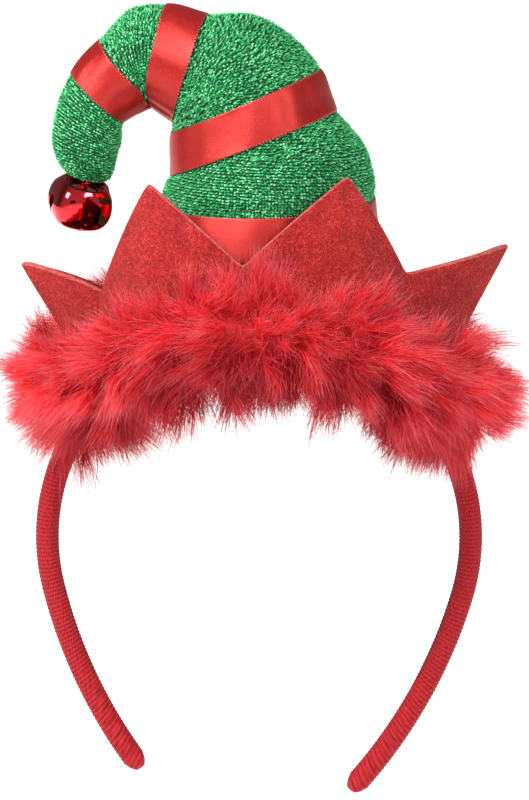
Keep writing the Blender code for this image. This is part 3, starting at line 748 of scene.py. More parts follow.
def pile_roots():
    """Places and angles of the tufts, and how far apart the rows run there.

    The rows are level on the body of the hat and turn with it above. Every
    other row is a spare one, for the places where the rows run far apart.
    """
    fine = np.linspace(0.0, HAT_END, FINE_PLACES)
    turn = np.linspace(0.0, FULL_TURN, FINE_TURNS)
    surface = hat_surface(fine[:, None], HAT_FRONT + turn[None, :])
    front = running_length(surface[:, 0])
    share = soft_step((fine - LEVEL_ROWS_END) / (TURNED_ROWS_START - LEVEL_ROWS_END))[:, None]
    level = (surface[..., 2] - SEAT_Z) * (1 - share) + front[:, None] * share
    covered = []
    for name, node, start, end, kinks in RIBBONS:
        low, high = np.interp((start, end), fine, front)
        covered.append(np.interp((low + PILE_MARGIN, high - PILE_MARGIN), front, fine))
    places = []
    angles = []
    rooms = []
    spares = []
    for number in range(2, int(2 * front[-1] / PILE_PITCH)):
        place, near = (
            np.array([np.interp(goal, level[:, k], fine) for k in range(len(turn))])
            for goal in (number * PILE_PITCH / 2, (number + 1) * PILE_PITCH / 2)
        )
        line = hat_surface(place, HAT_FRONT + turn)
        gap = np.linalg.norm(hat_surface(near, HAT_FRONT + turn) - line, axis=-1)
        room = gap * 2 / PILE_PITCH
        ring = running_length(line)
        half = np.arange(PILE_COLUMN_PITCH / 2, ring[-1] / 2, PILE_COLUMN_PITCH)
        lengths = np.concatenate((half, ring[-1] - half))
        angles.append(HAT_FRONT + np.interp(lengths, ring, turn))
        places.append(np.interp(lengths, ring, place))
        rooms.append(np.interp(lengths, ring, room))
        spares.append(np.full(len(lengths), number % 2 == 1))
    found = (places, angles, rooms, spares)
    places, angles, rooms, spares = (np.concatenate(parts) for parts in found)
    bare = np.ones(len(places), dtype=bool)
    for low, high in covered:
        bare &= (places < low) | (places > high)
    return places[bare], angles[bare], rooms[bare], spares[bare]


def make_pile():
    """Tufts of pile over the hat: a soft peak each, with a few loose hairs."""
    draw = np.random.default_rng(11)
    place, angle, room, spare = pile_roots()
    spare_chance = np.clip((room - SPARE_ROOM[0]) / (SPARE_ROOM[1] - SPARE_ROOM[0]), 0.0, 1.0)
    chance = np.where(spare, spare_chance, np.clip(room * 1.35, 0.25, 1.0))
    kept = draw.random(len(place)) < chance
    place, angle = place[kept], angle[kept]
    count = len(place)
    curved = (place > CURVED_PLACES[0]) & (place < CURVED_PLACES[1])
    loose = np.where(curved, CURVED_STRAY, EVEN_STRAY)
    place = np.clip(place + draw.normal(0.0, 1.0, count) * loose, 0.0, HAT_END - 0.001)
    root, outward, onward, around = hat_frame(place, angle)
    root = root + outward * stuffing(place, angle)[:, None]
    root = root + around * draw.normal(0.0, TUFT_STRAY, (count, 1))
    lean = 0.40 + 0.30 * np.sin(40.0 * place + 3 * angle) + draw.normal(0.0, 0.15, count)
    axis = unit(outward - onward * lean[:, None] + draw.normal(0.0, 0.16, (count, 3)))
    height = PILE_HEIGHT * draw.uniform(*TUFT_HEIGHTS, (count, 1))
    girth = draw.uniform(*TUFT_GIRTHS, (count, 1))
    tone = draw.random(count)
    points = []
    maps = []
    faces = []
    for k in range(TUFT_SIDES):
        turn = FULL_TURN * (k + 0.5) / TUFT_SIDES
        foot = around * math.cos(turn) * TUFT_HALF_COLUMN + onward * math.sin(turn) * TUFT_HALF_ROW
        points.append(root + foot * math.sqrt(2) * girth - outward * TUFT_ROOT_DEPTH)
        maps.append(np.stack((tone, np.zeros(count)), axis=-1))
    points.append(root + axis * height)
    maps.append(np.stack((tone, np.ones(count)), axis=-1))
    for k in range(TUFT_SIDES):
        faces.append((k, (k + 1) % TUFT_SIDES, TUFT_SIDES))
    for hair in range(HAIRS_PER_TUFT):
        across = draw.uniform(-HAIR_ACROSS, HAIR_ACROSS, (count, 1)) * MM
        along = draw.uniform(-HAIR_ALONG, HAIR_ALONG, (count, 1)) * MM
        start = root + around * across + onward * along
        way = unit(axis + draw.normal(0.0, 0.28, (count, 3)))
        side = unit(np.cross(way, draw.normal(0.0, 1.0, (count, 3)))) * HAIR_WIDTH / 2
        reach = height * draw.uniform(*HAIR_REACH, (count, 1))
        first = len(points)
        points.extend((start - side, start + side, start + way * reach))
        # Each hair's share sets its random tone and whether it gets a painted glint.
        hair_tone_and_glint = draw.random(count)
        maps.append(np.stack((hair_tone_and_glint, np.full(count, 0.25)), axis=-1))
        maps.append(np.stack((hair_tone_and_glint, np.full(count, 0.25)), axis=-1))
        maps.append(np.stack((hair_tone_and_glint, np.ones(count)), axis=-1))
        faces.append((first, first + 1, first + 2))
    each = len(points)
    points = np.stack(points, axis=1)
    maps = np.stack(maps, axis=1)
    split = place < LOWER_PILE_END
    for name, part in (("plush_pile_lower", split), ("plush_pile_upper", ~split)):
        tufts = int(part.sum())
        corners = (np.arange(tufts)[:, None, None] * each + np.array(faces)[None]).reshape(-1, 3)
        spots = points[part].reshape(-1, 3)
        piece = add_piece(name, spots, corners.tolist(), PLUSH_PILE, "hat_cone")
        add_map(piece, "pile", maps[part].reshape(-1, 2))


# Satin ribbons

RIBBON_COLUMNS = 720
RIBBON_ROWS = 9
RIBBON_LIFT = 1.25 * MM
SATIN_THICKNESS = 0.40 * MM
EDGE_DROP = 0.30 * MM
PICOT_PITCH = 1.0 * MM
PICOT_DEPTH = 0.12 * MM
PICOT_EDGE = 0.3 * MM
SLOW_PUCKER = 0.16 * MM
QUICK_PUCKER = 0.07 * MM

# The two upper ribbons run together in the crook of the hat
CROOK_SHIFT = {("satin_upper", "end"): 0.034, ("satin_tip", "start"): 0.050}


def make_ribbon(name, node, start, end, kinks):
    """A ribbon wrapped round the hat, with a scalloped stitched edge."""
    angle = np.arange(RIBBON_COLUMNS) * FULL_TURN / RIBBON_COLUMNS
    phase = 40 * start
    middle = hat_surface((start + end) / 2, np.append(angle, FULL_TURN))
    length = running_length(middle)
    crook = (0.5 - 0.5 * np.cos(angle)) ** 3
    start = start - CROOK_SHIFT.get((name, "start"), 0.0) * crook
    end = end + CROOK_SHIFT.get((name, "end"), 0.0) * crook
    width = np.linalg.norm(hat_surface(end, angle) - hat_surface(start, angle), axis=-1)
    beats = round(length[-1] / PICOT_PITCH)
    beat = np.cos(length[:-1] / length[-1] * beats * FULL_TURN)
    outer = []
    inner = []
    maps = []
    pucker = np.sin(5 * angle + phase) * SLOW_PUCKER + np.sin(11 * angle + 2.0) * QUICK_PUCKER
    for spot, wide, deep in kinks:
        away = np.degrees(angle) - spot
        pucker = pucker - deep * MM * np.exp(-(away / wide) ** 2)
    for i in range(RIBBON_ROWS):
        share = 0.5 - 0.5 * math.cos(math.pi * i / (RIBBON_ROWS - 1))
        edge = np.minimum(share, 1 - share) * width
        scallop = np.where(edge < PICOT_EDGE, beat * PICOT_DEPTH / np.maximum(width, 1e-6), 0.0)
        shift = scallop * (1 if share > 0.5 else -1)
        place = start + (end - start) * (share + shift)
        crown = 1 - (2 * share - 1) ** 6
        lift = RIBBON_LIFT - EDGE_DROP * (1 - crown) + pucker * crown
        outer.append(hat_cloth(place, angle, lift))
        inner.append(hat_cloth(place, angle, lift - SATIN_THICKNESS))
        maps.append(np.stack((length[:-1] / MM, edge / MM), axis=-1))
    points = np.concatenate(outer + inner[::-1])
    faces = skin(2 * RIBBON_ROWS, RIBBON_COLUMNS, closed=True)
    piece = add_piece(name, points, faces, SATIN, node)
    turn_outward(piece)
    add_map(piece, "weave", np.concatenate(maps + maps[::-1]))


# Felt base and collar

COLLAR_COLUMN_STEPS = 26
COLLAR_ROW_STEPS = 22
FELT_THICKNESS = 1.6 * MM
EDGE_BAND = 0.55 * MM
EDGE_PINCH = 0.35 * MM
SIDE_TIP_BLUNT = 0.008
FRONT_TIP_BLUNT = 0.011
VALLEY_ROUND = 0.010
TIP_SOFTNESS = 1.5
SIDE_TIP_LEAN = 15.0
COLLAR_WAVE = 0.5 * MM
CREASE_DEPTH = 0.7 * MM
CREASE_DEGREES = 80.0
CREASE_DRIFT = 8.0
CREASE_WIDTH = 5.0
FIBRES = 7500
FIBRE_STEPS = 4
FIBRE_WIDTH = 0.13 * MM
FIBRE_SHORTEST = 0.8
FIBRE_SPREAD = 4.0
FIBRE_CURL = 1.6
FIBRE_LIFT = 0.22


def rim_point(angle, outset, radius):
    """Points over the oval base, by angle from the front, set out from its rim."""
    turn = (PAD_HALF_LENGTH + outset) * np.sin(angle) / PAD_OUTER_RADIUS
    y = -(PAD_HALF_DEPTH + outset) * np.cos(angle)
    return np.stack((radius * np.sin(turn), y, ARCH_CENTRE_Z + radius * np.cos(turn)), axis=-1)


def rim_outward(angle):
    """Level directions away from the oval base."""
    x = PAD_HALF_DEPTH * np.sin(angle)
    y = -PAD_HALF_LENGTH * np.cos(angle)
    return unit(np.stack((x, y, np.zeros_like(angle)), axis=-1))


def collar_line():
    """Angles, heights and leans of the collar's upright lines, with soft tips."""
    rows = np.array(COLLAR_ROWS + ((180.0, *COLLAR_ROWS[0][1:]),))
    spots = np.arange(len(COLLAR_ROWS) * COLLAR_COLUMN_STEPS) / COLLAR_COLUMN_STEPS
    number = np.arange(len(rows))
    angle, height, lean = (np.interp(spots, number, rows[:, i]) for i in range(3))
    near_tip = np.abs(spots - np.round(spots))
    soften = np.maximum(0.0, 1 - near_tip * COLLAR_COLUMN_STEPS / TIP_SOFTNESS)
    is_tip = (np.round(spots) % 2) == 1
    blunt = np.where(np.abs(lean) > SIDE_TIP_LEAN, SIDE_TIP_BLUNT, FRONT_TIP_BLUNT)
    height = np.where(is_tip, height - blunt * soften, height + VALLEY_ROUND * soften)
    return np.radians(angle), height * COLLAR_HEIGHT, np.radians(lean)


def collar_wall(angle, height, lean, share, depth):
    """Points in the collar's wall, with the directions up it and into it."""
    outward = rim_outward(angle)
    rise = outward * np.sin(lean)[:, None] + np.array(UP) * np.cos(lean)[:, None]
    inward = np.array(UP) * np.sin(lean)[:, None] - outward * np.cos(lean)[:, None]
    wave = COLLAR_WAVE * np.sin(4 * angle + 5.0 * share) * share
    away = (np.degrees(angle) + CREASE_DEGREES + CREASE_DRIFT * share) / CREASE_WIDTH
    crease = CREASE_DEPTH * np.exp(-away ** 2) * share
    base = rim_point(angle, -COLLAR_INSET, SEAT_RADIUS)
    point = base + rise * (height * share)[:, None] + inward * (depth + wave + crease)[:, None]
    return point, rise, inward


def make_collar():
    """The zigzag collar of felt, standing round the hat, its cut edge given a paler copy of the felt as a
    painted highlight.
    """
    angle, height, lean = collar_line()
    sides = []
    below_edge = 1.0 - EDGE_BAND / height
    for depth, pinch in ((0.0, EDGE_PINCH), (FELT_THICKNESS, -EDGE_PINCH)):
        rows = [rim_point(angle, -COLLAR_INSET - depth, SEAT_RADIUS)]
        for i in range(1, COLLAR_ROW_STEPS + 1):
            share = below_edge * i / COLLAR_ROW_STEPS
            rows.append(collar_wall(angle, height, lean, share, depth)[0])
        rows.append(collar_wall(angle, height, lean, np.ones_like(angle), depth + pinch)[0])
        sides.append(rows)
    points = np.concatenate(sides[0] + sides[1][::-1])
    columns = len(angle)
    faces = skin(2 * (COLLAR_ROW_STEPS + 2), columns, closed=True)
    collar = add_piece("felt_points", points, faces, FELT, "felt_collar")
    # The cut edge takes the paler felt, a painted highlight.
    collar.data.materials.append(FELT_EDGE_PAINTED_HIGHLIGHT)
    edge = range(COLLAR_ROW_STEPS * columns, (COLLAR_ROW_STEPS + 3) * columns)
    for number in edge:
        collar.data.polygons[number].material_index = 1
    turn_outward(collar)
    return collar


def make_fuzz():
    """Loose curly fibres that lie on the face of the felt collar."""
    draw = np.random.default_rng(37)
    angle, height, lean = collar_line()
    line = np.arange(len(angle))
    spot = draw.uniform(0.0, len(angle) - 1, FIBRES)
    angle, height, lean = (np.interp(spot, line, values) for values in (angle, height, lean))
    kept = draw.random(FIBRES) < height / COLLAR_HEIGHT
    angle, height, lean = angle[kept], height[kept], lean[kept]
    count = len(angle)
    share = draw.uniform(0.2, 1.0, count)
    root, rise, inward = collar_wall(angle, height, lean, share, -0.02 * MM)
    onward = np.cross(rise, inward)
    turn = draw.uniform(0.0, FULL_TURN, count)
    curl = draw.normal(0.0, FIBRE_CURL, count)
    reach = (FIBRE_SHORTEST + FIBRE_SPREAD * draw.random((count, 1)) ** 3) * MM
    lines = [root]
    for i in range(1, FIBRE_STEPS + 1):
        way = turn + curl * i / FIBRE_STEPS
        level = onward * np.cos(way)[:, None] + rise * np.sin(way)[:, None]
        lift = inward * (i - 1.4) * FIBRE_LIFT
        step = (level - lift * draw.uniform(-0.4, 1.0, (count, 1))) * reach / FIBRE_STEPS
        lines.append(lines[-1] + step)
    flip = draw.uniform(0.0, FULL_TURN, (count, 1))
    side = rise * np.cos(flip) + onward * np.sin(flip)
    half = side * FIBRE_WIDTH / 2
    tone = draw.random(count)
    add_strands("felt_fuzz", lines, half, tone, FELT_FIBRE, "felt_collar")


BLADE_TAPER = 0.55


def add_strands(name, lines, half, tone, material, node):
    """Tapered blades along lines of points, with a map of tone and height."""
    steps = len(lines) - 1
    count = len(half)
    points = []
    maps = []
    for i, line in enumerate(lines[:-1]):
        share = i / steps
        wide = half * (1 - BLADE_TAPER * share)
        points.extend((line - wide, line + wide))
        maps.extend([np.stack((tone, np.full(count, share)), axis=-1)] * 2)
    points.append(lines[-1])
    maps.append(np.stack((tone, np.ones(count)), axis=-1))
    each = len(points)
    corners = []
    for i in range(steps - 1):
        blade = np.array((2 * i, 2 * i + 1, 2 * i + 3, 2 * i + 2))
        corners.extend((np.arange(count)[:, None] * each + blade).tolist())
    end = np.array((each - 3, each - 2, each - 1))
    corners.extend((np.arange(count)[:, None] * each + end).tolist())
    points = np.stack(points, axis=1).reshape(-1, 3)
    piece = add_piece(name, points, corners, material, node)
    add_map(piece, "strand", np.stack(maps, axis=1).reshape(-1, 2))


PAD_RINGS = 12
PAD_COLUMNS = 120


def make_pad():
    """The oval felt base, bent over the band."""
    angle = np.arange(PAD_COLUMNS) * FULL_TURN / PAD_COLUMNS
    points = []
    out_and_in = range(1, PAD_RINGS + 1), range(PAD_RINGS, 0, -1)
    for radius, order in zip((PAD_OUTER_RADIUS, PAD_INNER_RADIUS), out_and_in):
        for i in order:
            share = i / PAD_RINGS
            turn = PAD_HALF_LENGTH * share * np.sin(angle) / PAD_OUTER_RADIUS
            y = -PAD_HALF_DEPTH * share * np.cos(angle)
            x = radius * np.sin(turn)
            z = ARCH_CENTRE_Z + radius * np.cos(turn)
            points.append(np.stack((x, y, z), axis=-1))
    faces = skin(len(points), PAD_COLUMNS)
    points = np.concatenate(points)
    top = len(points)
    middles = [(0.0, 0.0, ARCH_CENTRE_Z + radius) for radius in (PAD_OUTER_RADIUS, PAD_INNER_RADIUS)]
    points = np.concatenate((points, middles))
    last = top - PAD_COLUMNS
    for k in range(PAD_COLUMNS):
        j = (k + 1) % PAD_COLUMNS
        faces.append((j, k, top))
        faces.append((last + k, last + j, top + 1))
    pad = add_piece("felt_base", points, faces, FELT, "base_pad")
    turn_outward(pad)


# Feather trim

TRIM_CORE_RADIUS = 5.2 * MM
TRIM_CORE_RISE = 8.5 * MM
CORE_STATIONS = 160
CORE_SIDES = 20
LOCKS = 360
PLUMES_PER_LOCK = 5
BARBS_PER_PLUME = 62
PLUME_LENGTH = 11.5 * MM
BARB_LENGTH = 11.5 * MM
BARB_WIDTH = 0.17 * MM
BARB_SHARES = (0.0, 0.40, 0.75, 1.0)
LOCK_PULL = 0.24
TRIM_FLATNESS = 0.45
COLLAR_AIR = 0.4 * MM
SEARCH_REACH = 8.0 * MM
DOWN = 17000
DOWN_LENGTH = 10.5 * MM
PARTING_DOWN = 1100
FIRST_TURN = math.radians(-158.0)
TURN_SPAN = math.radians(258.0)
GOLDEN_SHARE = 0.618034
TRIM_PIECES = ("feather_right_front", "feather_right_back", "feather_left_back", "feather_left_front")


def trim_frame(angle):
    """Centre, outward, upward and onward directions of the trim round the rim."""
    lift = TRIM_LIFT_FRONT + (TRIM_LIFT_SIDE - TRIM_LIFT_FRONT) * np.sin(angle) ** 2
    centre = rim_point(angle, TRIM_OUTSET, PAD_OUTER_RADIUS + lift)
    onward = unit(rim_point(angle + 0.01, TRIM_OUTSET, PAD_OUTER_RADIUS + lift) - centre)
    turn = (PAD_HALF_LENGTH + TRIM_OUTSET) * np.sin(angle) / PAD_OUTER_RADIUS
    upward = np.stack((np.sin(turn), np.zeros_like(turn), np.cos(turn)), axis=-1)
    outward = unit(np.cross(onward, upward))
    flip = np.sign(np.sum(outward * rim_outward(angle), axis=-1, keepdims=True))
    outward = outward * np.where(flip == 0, 1, flip)
    upward = unit(upward - outward * np.sum(upward * outward, axis=-1, keepdims=True))
    return centre, outward, upward, onward


def make_core():
    """The lumpy heart of the trim, hidden by its barbs, dark with painted shade where it shows between
    them.
    """
    angle = np.arange(CORE_STATIONS) * FULL_TURN / CORE_STATIONS
    centre, outward, upward, onward = trim_frame(angle)
    rings = []
    for i in range(CORE_STATIONS):
        turn = np.arange(CORE_SIDES) * FULL_TURN / CORE_SIDES
        lump = 1 + 0.05 * np.sin(9 * angle[i] + 3 * turn) + 0.04 * np.sin(31 * angle[i] + 2 * turn)
        wide = outward[i] * (TRIM_CORE_RADIUS * lump * np.cos(turn))[:, None]
        high = upward[i] * (TRIM_CORE_RISE * lump * np.sin(turn))[:, None]
        rings.append(centre[i] + wide + high)
    faces = skin(CORE_STATIONS, CORE_SIDES, closed=True)
    points = np.concatenate(rings)
    core = add_piece("feather_heart", points, faces, FEATHER_CORE_PAINTED_SHADE, "feather_trim")
    turn_outward(core)


def face_tree(piece, keep):
    """A search tree over the faces of a piece that pass a test."""
    spots = [vert.co.copy() for vert in piece.data.vertices]
    faces = [tuple(face.vertices) for face in piece.data.polygons if keep(face)]
    return BVHTree.FromPolygons(spots, faces)


def looks_out(face):
    """True for a face of the collar that looks away from the hat."""
    level = Vector((face.center.x / PAD_HALF_LENGTH ** 2, face.center.y / PAD_HALF_DEPTH ** 2, 0.0))
    return face.normal.dot(level.normalized()) > 0.3


def push_out(tree, line):
    """Move points that are in a wall, or behind it, to just before it."""
    moved = line.copy()
    for i, spot in enumerate(line):
        near, normal, index, distance = tree.find_nearest(Vector(spot), SEARCH_REACH)
        if near is not None:
            ahead = (Vector(spot) - near).dot(normal)
            if ahead < COLLAR_AIR:
                moved[i] = spot + np.array(normal) * (COLLAR_AIR - ahead)
    return moved


def make_barbs(collar):
    """Locks of plumes that fan out from the heart of the trim, barb by barb."""
    draw = np.random.default_rng(23)
    lock_station = (np.arange(LOCKS) + draw.uniform(-0.5, 0.5, LOCKS)) * FULL_TURN / LOCKS
    lock_turn = FIRST_TURN + TURN_SPAN * ((np.arange(LOCKS) * GOLDEN_SHARE) % 1.0)
    lock_way = draw.normal(0.0, 0.16, (LOCKS, 3))
    lock_bend = draw.normal(0.0, 0.20, (LOCKS, 3)) - np.array(UP) * 0.12
    lock_size = draw.uniform(0.86, 1.12, LOCKS)
    lock_tone = draw.random(LOCKS)
    lock = np.repeat(np.arange(LOCKS), PLUMES_PER_LOCK)
    plumes = len(lock)
    station = lock_station[lock] + draw.normal(0.0, 0.030, plumes)
    turn = np.clip(lock_turn[lock] + draw.normal(0.0, 0.16, plumes), -2.7, 1.72)
    centre, outward, upward, onward = trim_frame(station)
    flat = 1.0 - TRIM_FLATNESS * np.cos(station) ** 2
    wide = outward * (TRIM_CORE_RADIUS * 0.6 * np.cos(turn))[:, None]
    high = upward * (TRIM_CORE_RISE * 0.7 * np.sin(turn))[:, None]
    root = centre + wide + high
    away = outward * (flat * np.cos(turn))[:, None] + upward * np.sin(turn)[:, None]
    comb = 0.60 * np.sin(2 * station) + 0.50 * np.sin(7 * station + 2 * turn + 1.0)
    comb = comb + 0.30 * np.sin(17 * station - 3 * turn + 2.0)
    stem = unit(away + onward * comb[:, None] + lock_way[lock] + draw.normal(0.0, 0.07, (plumes, 3)))
    low = 1.0 + 0.12 * np.clip(-np.sin(turn), 0.0, 1.0)
    swell = 1.0 + 0.10 * np.sin(11 * station + 2 * turn)
    size = (low * lock_size[lock] * swell * draw.uniform(0.90, 1.08, plumes))[:, None]
    plume = np.repeat(np.arange(plumes), BARBS_PER_PLUME)
    count = len(plume)
    along = draw.random((count, 1)) ** 0.7
    bend = lock_bend[lock][plume]
    start = root[plume] + (stem[plume] + bend * along * 0.5) * PLUME_LENGTH * size[plume] * along
    spin = draw.uniform(0.0, FULL_TURN, (count, 1))
    side_a = unit(np.cross(stem, np.array((0.31, 0.22, 0.92))))
    side_b = np.cross(stem, side_a)
    across = side_a[plume] * np.cos(spin) + side_b[plume] * np.sin(spin)
    open_angle = np.radians(draw.uniform(6.0, 62.0, (count, 1)))
    way = unit(stem[plume] * np.cos(open_angle) + across * np.sin(open_angle))
    reach = BARB_LENGTH * size[plume] * (1.0 - 0.30 * along) * draw.uniform(0.45, 1.12, (count, 1))
    curve = stem[plume] * 0.30 + bend + draw.normal(0.0, 0.14, (count, 3))
    lines = [start + (way * share + curve * share ** 2) * reach for share in BARB_SHARES]
    first = lock[plume] * PLUMES_PER_LOCK
    axis = stem[first]
    for i, share in enumerate(BARB_SHARES):
        past = np.sum((lines[i] - root[first]) * axis, axis=-1, keepdims=True)
        spine = root[first] + axis * past + bend * past ** 2 / PLUME_LENGTH * 0.35
        lines[i] = lines[i] + (spine - lines[i]) * LOCK_PULL * share ** 1.5
    tree = face_tree(collar, looks_out)
    lines = [push_out(tree, line) for line in lines]
    half = unit(np.cross(way, draw.normal(0.0, 1.0, (count, 3)))) * BARB_WIDTH / 2
    # Painted shade: plumes that point downward get a higher tone, which blends them toward the shadow
    # colour.
    shade = np.clip(0.10 - 0.62 * np.sin(turn), 0.0, 0.75)
    tone = np.clip(lock_tone[lock][plume] * 0.35 + draw.random(count) * 0.30 + shade[plume], 0.0, 1.0)
    spot = station[plume]
    down = make_down(draw, tree)
    lines = [np.concatenate(pair) for pair in zip(lines, down[0])]
    half, tone, spot = (np.concatenate(pair) for pair in zip((half, tone, spot), down[1:]))
    quarter = np.minimum((spot % FULL_TURN) / FULL_TURN * 4, 3).astype(int)
    for number, name in enumerate(TRIM_PIECES):
        part = quarter == number
        blades = [line[part] for line in lines]
        add_strands(name, blades, half[part], tone[part], FEATHER, "feather_trim")


def make_down(draw, tree):
    """Short soft down that covers the heart of the trim, thickest where its plumes part in front."""
    station = draw.uniform(0.0, FULL_TURN, DOWN)
    turn = np.radians(draw.uniform(-165.0, 110.0, DOWN))
    station[:PARTING_DOWN] = draw.normal(-0.07, 0.09, PARTING_DOWN)
    turn[:PARTING_DOWN] = np.radians(draw.uniform(-135.0, -25.0, PARTING_DOWN))
    centre, outward, upward, onward = trim_frame(station)
    wide = outward * (TRIM_CORE_RADIUS * 0.95 * np.cos(turn))[:, None]
    high = upward * (TRIM_CORE_RISE * 0.95 * np.sin(turn))[:, None]
    root = centre + wide + high
    away = unit(wide / TRIM_CORE_RADIUS ** 2 + high / TRIM_CORE_RISE ** 2)
    comb = 0.9 * np.sin(2 * station) + 1.1 * np.sin(9 * station + 2 * turn) + draw.normal(0.0, 0.35, DOWN)
    comb[:PARTING_DOWN] *= 0.12
    fall = draw.normal(-0.1, 0.5, DOWN)
    way = unit(away * 0.9 + onward * comb[:, None] + upward * fall[:, None])
    curve = draw.normal(0.0, 0.35, (DOWN, 3)) - np.array(UP) * 0.15
    reach = DOWN_LENGTH * draw.uniform(0.5, 1.2, (DOWN, 1))
    lines = [root + (way * share + curve * share ** 2) * reach for share in BARB_SHARES]
    lines = [push_out(tree, line) for line in lines]
    half = unit(np.cross(way, draw.normal(0.0, 1.0, (DOWN, 3)))) * BARB_WIDTH / 2
    # Painted shade: down that points downward gets a higher tone, toward the shadow colour.
    tone = np.clip(0.15 - 0.62 * np.sin(turn) + draw.random(DOWN) * 0.5, 0.0, 1.0)
    return lines, half, tone, station


# Headband

BAND_SIDES = 16
BAND_RIB_PITCH = 1.25 * MM
BAND_RIB_DEPTH = 0.20 * MM
BAND_END_SECTIONS = ((2.6 * MM, 0.80), (1.4 * MM, 0.56))


def shown_object():
    """The object that is worked on."""
    return bpy.context.view_layer.objects.active


def pick_verts(test):
    """Select, in edit mode, the vertices that pass a test."""
    bpy.ops.mesh.select_mode(type="VERT")
    work = bmesh.from_edit_mesh(shown_object().data)
    work.verts.index_update()
    for face in work.faces:
        face.select = False
    for edge in work.edges:
        edge.select = False
    for vert in work.verts:
        vert.select = bool(test(vert))
    work.select_flush(True)
    bmesh.update_edit_mesh(shown_object().data)


def band_frame(length):
    """Centre point and outward direction of the band at a length from its crown."""
    side = 1.0 if length >= 0 else -1.0
    length = abs(length)
    crown_length = BAND_CROWN_RADIUS * BAND_CROWN_ANGLE
    angle = min(length / BAND_CROWN_RADIUS, BAND_CROWN_ANGLE)
    outward = Vector((math.sin(angle), 0.0, math.cos(angle)))
    point = Vector((0.0, 0.0, ARCH_CENTRE_Z)) + outward * BAND_CROWN_RADIUS
    if length > crown_length:
        centre = point - outward * BAND_ARM_RADIUS
        angle += (length - crown_length) / BAND_ARM_RADIUS
        outward = Vector((math.sin(angle), 0.0, math.cos(angle)))
        point = centre + outward * BAND_ARM_RADIUS
    return Vector((side * point.x, 0.0, point.z)), Vector((side * outward.x, 0.0, outward.z))


def sweep_arm(side):
    """Spin half of the band from the crown, then its arm and its rounded end."""
    crown_length = BAND_CROWN_RADIUS * BAND_CROWN_ANGLE
    length = BAND_HALF_LENGTH + side * BAND_OFFSET - sum(step for step, scale in BAND_END_SECTIONS)
    arm_length = length - crown_length
    steps = round(crown_length / (BAND_RIB_PITCH / 2))
    centre = (0.0, 0.0, ARCH_CENTRE_Z)
    across = (0.0, 1.0, 0.0)
    bpy.ops.mesh.spin(steps=steps, angle=-side * BAND_CROWN_ANGLE, center=centre, axis=across)
    point, outward = band_frame(side * crown_length)
    centre = point - outward * BAND_ARM_RADIUS
    steps = round(arm_length / (BAND_RIB_PITCH / 2))
    angle = -side * arm_length / BAND_ARM_RADIUS
    bpy.ops.mesh.spin(steps=steps, angle=angle, center=centre, axis=across)
    for step, scale in BAND_END_SECTIONS:
        here = band_frame(side * length)[0]
        length += step
        ahead = band_frame(side * length)[0]
        bpy.ops.mesh.extrude_region_move(TRANSFORM_OT_translate={"value": ahead - here})
        bpy.ops.transform.resize(value=(scale, scale, scale))
    bpy.ops.mesh.extrude_region_move()
    bpy.ops.mesh.merge(type="CENTER")


def make_band():
    """The covered band: an oval swept over the arch, ribbed by its cover."""
    crown = (0.0, 0.0, ARCH_CENTRE_Z + BAND_CROWN_RADIUS)
    bpy.ops.mesh.primitive_circle_add(
        vertices=BAND_SIDES, radius=0.5, location=crown, rotation=(0.0, math.pi / 2, 0.0)
    )
    bpy.ops.object.transform_apply(location=True, rotation=True, scale=True)
    band = shown_object()
    band.name = "covered_band"
    bpy.ops.object.mode_set(mode="EDIT")
    bpy.ops.mesh.select_all(action="SELECT")
    bpy.ops.transform.resize(value=(1.0, BAND_WIDTH, BAND_THICKNESS), center_override=crown)
    sweep_arm(1.0)
    pick_verts(lambda vert: vert.index < BAND_SIDES)
    sweep_arm(-1.0)
    pick_verts(lambda vert: (vert.index // BAND_SIDES) % 2 == 1)
    bpy.ops.transform.shrink_fatten(value=-BAND_RIB_DEPTH)
    bpy.ops.mesh.select_all(action="SELECT")
    bpy.ops.mesh.remove_doubles(threshold=0.01 * MM)
    bpy.ops.mesh.normals_make_consistent(inside=False)
    bpy.ops.object.mode_set(mode="OBJECT")
    bpy.ops.object.shade_smooth()
    band.data.materials.append(BAND_COVER)
    hold_piece(band, "headband")
    spots = np.empty(len(band.data.vertices) * 3)
    band.data.vertices.foreach_get("co", spots)
    spots = spots.reshape(-1, 3)
    level = np.degrees(np.arctan2(spots[:, 0], spots[:, 2] - ARCH_CENTRE_Z))
    along = np.radians(level) * BAND_CROWN_RADIUS / BAND_RIB_PITCH
    outset = np.hypot(spots[:, 0], spots[:, 2] - ARCH_CENTRE_Z) - BAND_CROWN_RADIUS
    around = np.arctan2(spots[:, 1], outset) / FULL_TURN
    add_map(band, "cover", np.stack((along, around), axis=-1))
    bpy.ops.object.select_all(action="DESELECT")


# Jingle bell

BELL_SIDES = 64


def bell_loop_centre():
    """Height of the loop's centre above the middle of the bell."""
    return BELL_HALF_HEIGHT - BELL_DISH_DEPTH + BELL_LOOP_RADIUS


def bell_matrix():
    """The bell hangs by its loop from the hat's tip, leaning right and forward."""
    axis = Vector((math.tan(BELL_LEAN_RIGHT), -math.tan(BELL_LEAN_FRONT), 1.0)).normalized()
    loop_top = bell_loop_centre() + BELL_LOOP_RADIUS + BELL_LOOP_WIRE
    centre = HAT_TIP - axis * (loop_top + CLEARANCE)
    turn = axis.to_track_quat("Z", "Y").to_matrix().to_4x4()
    return Matrix.Translation(centre) @ turn @ Matrix.Rotation(BELL_TURN, 4, "Z")


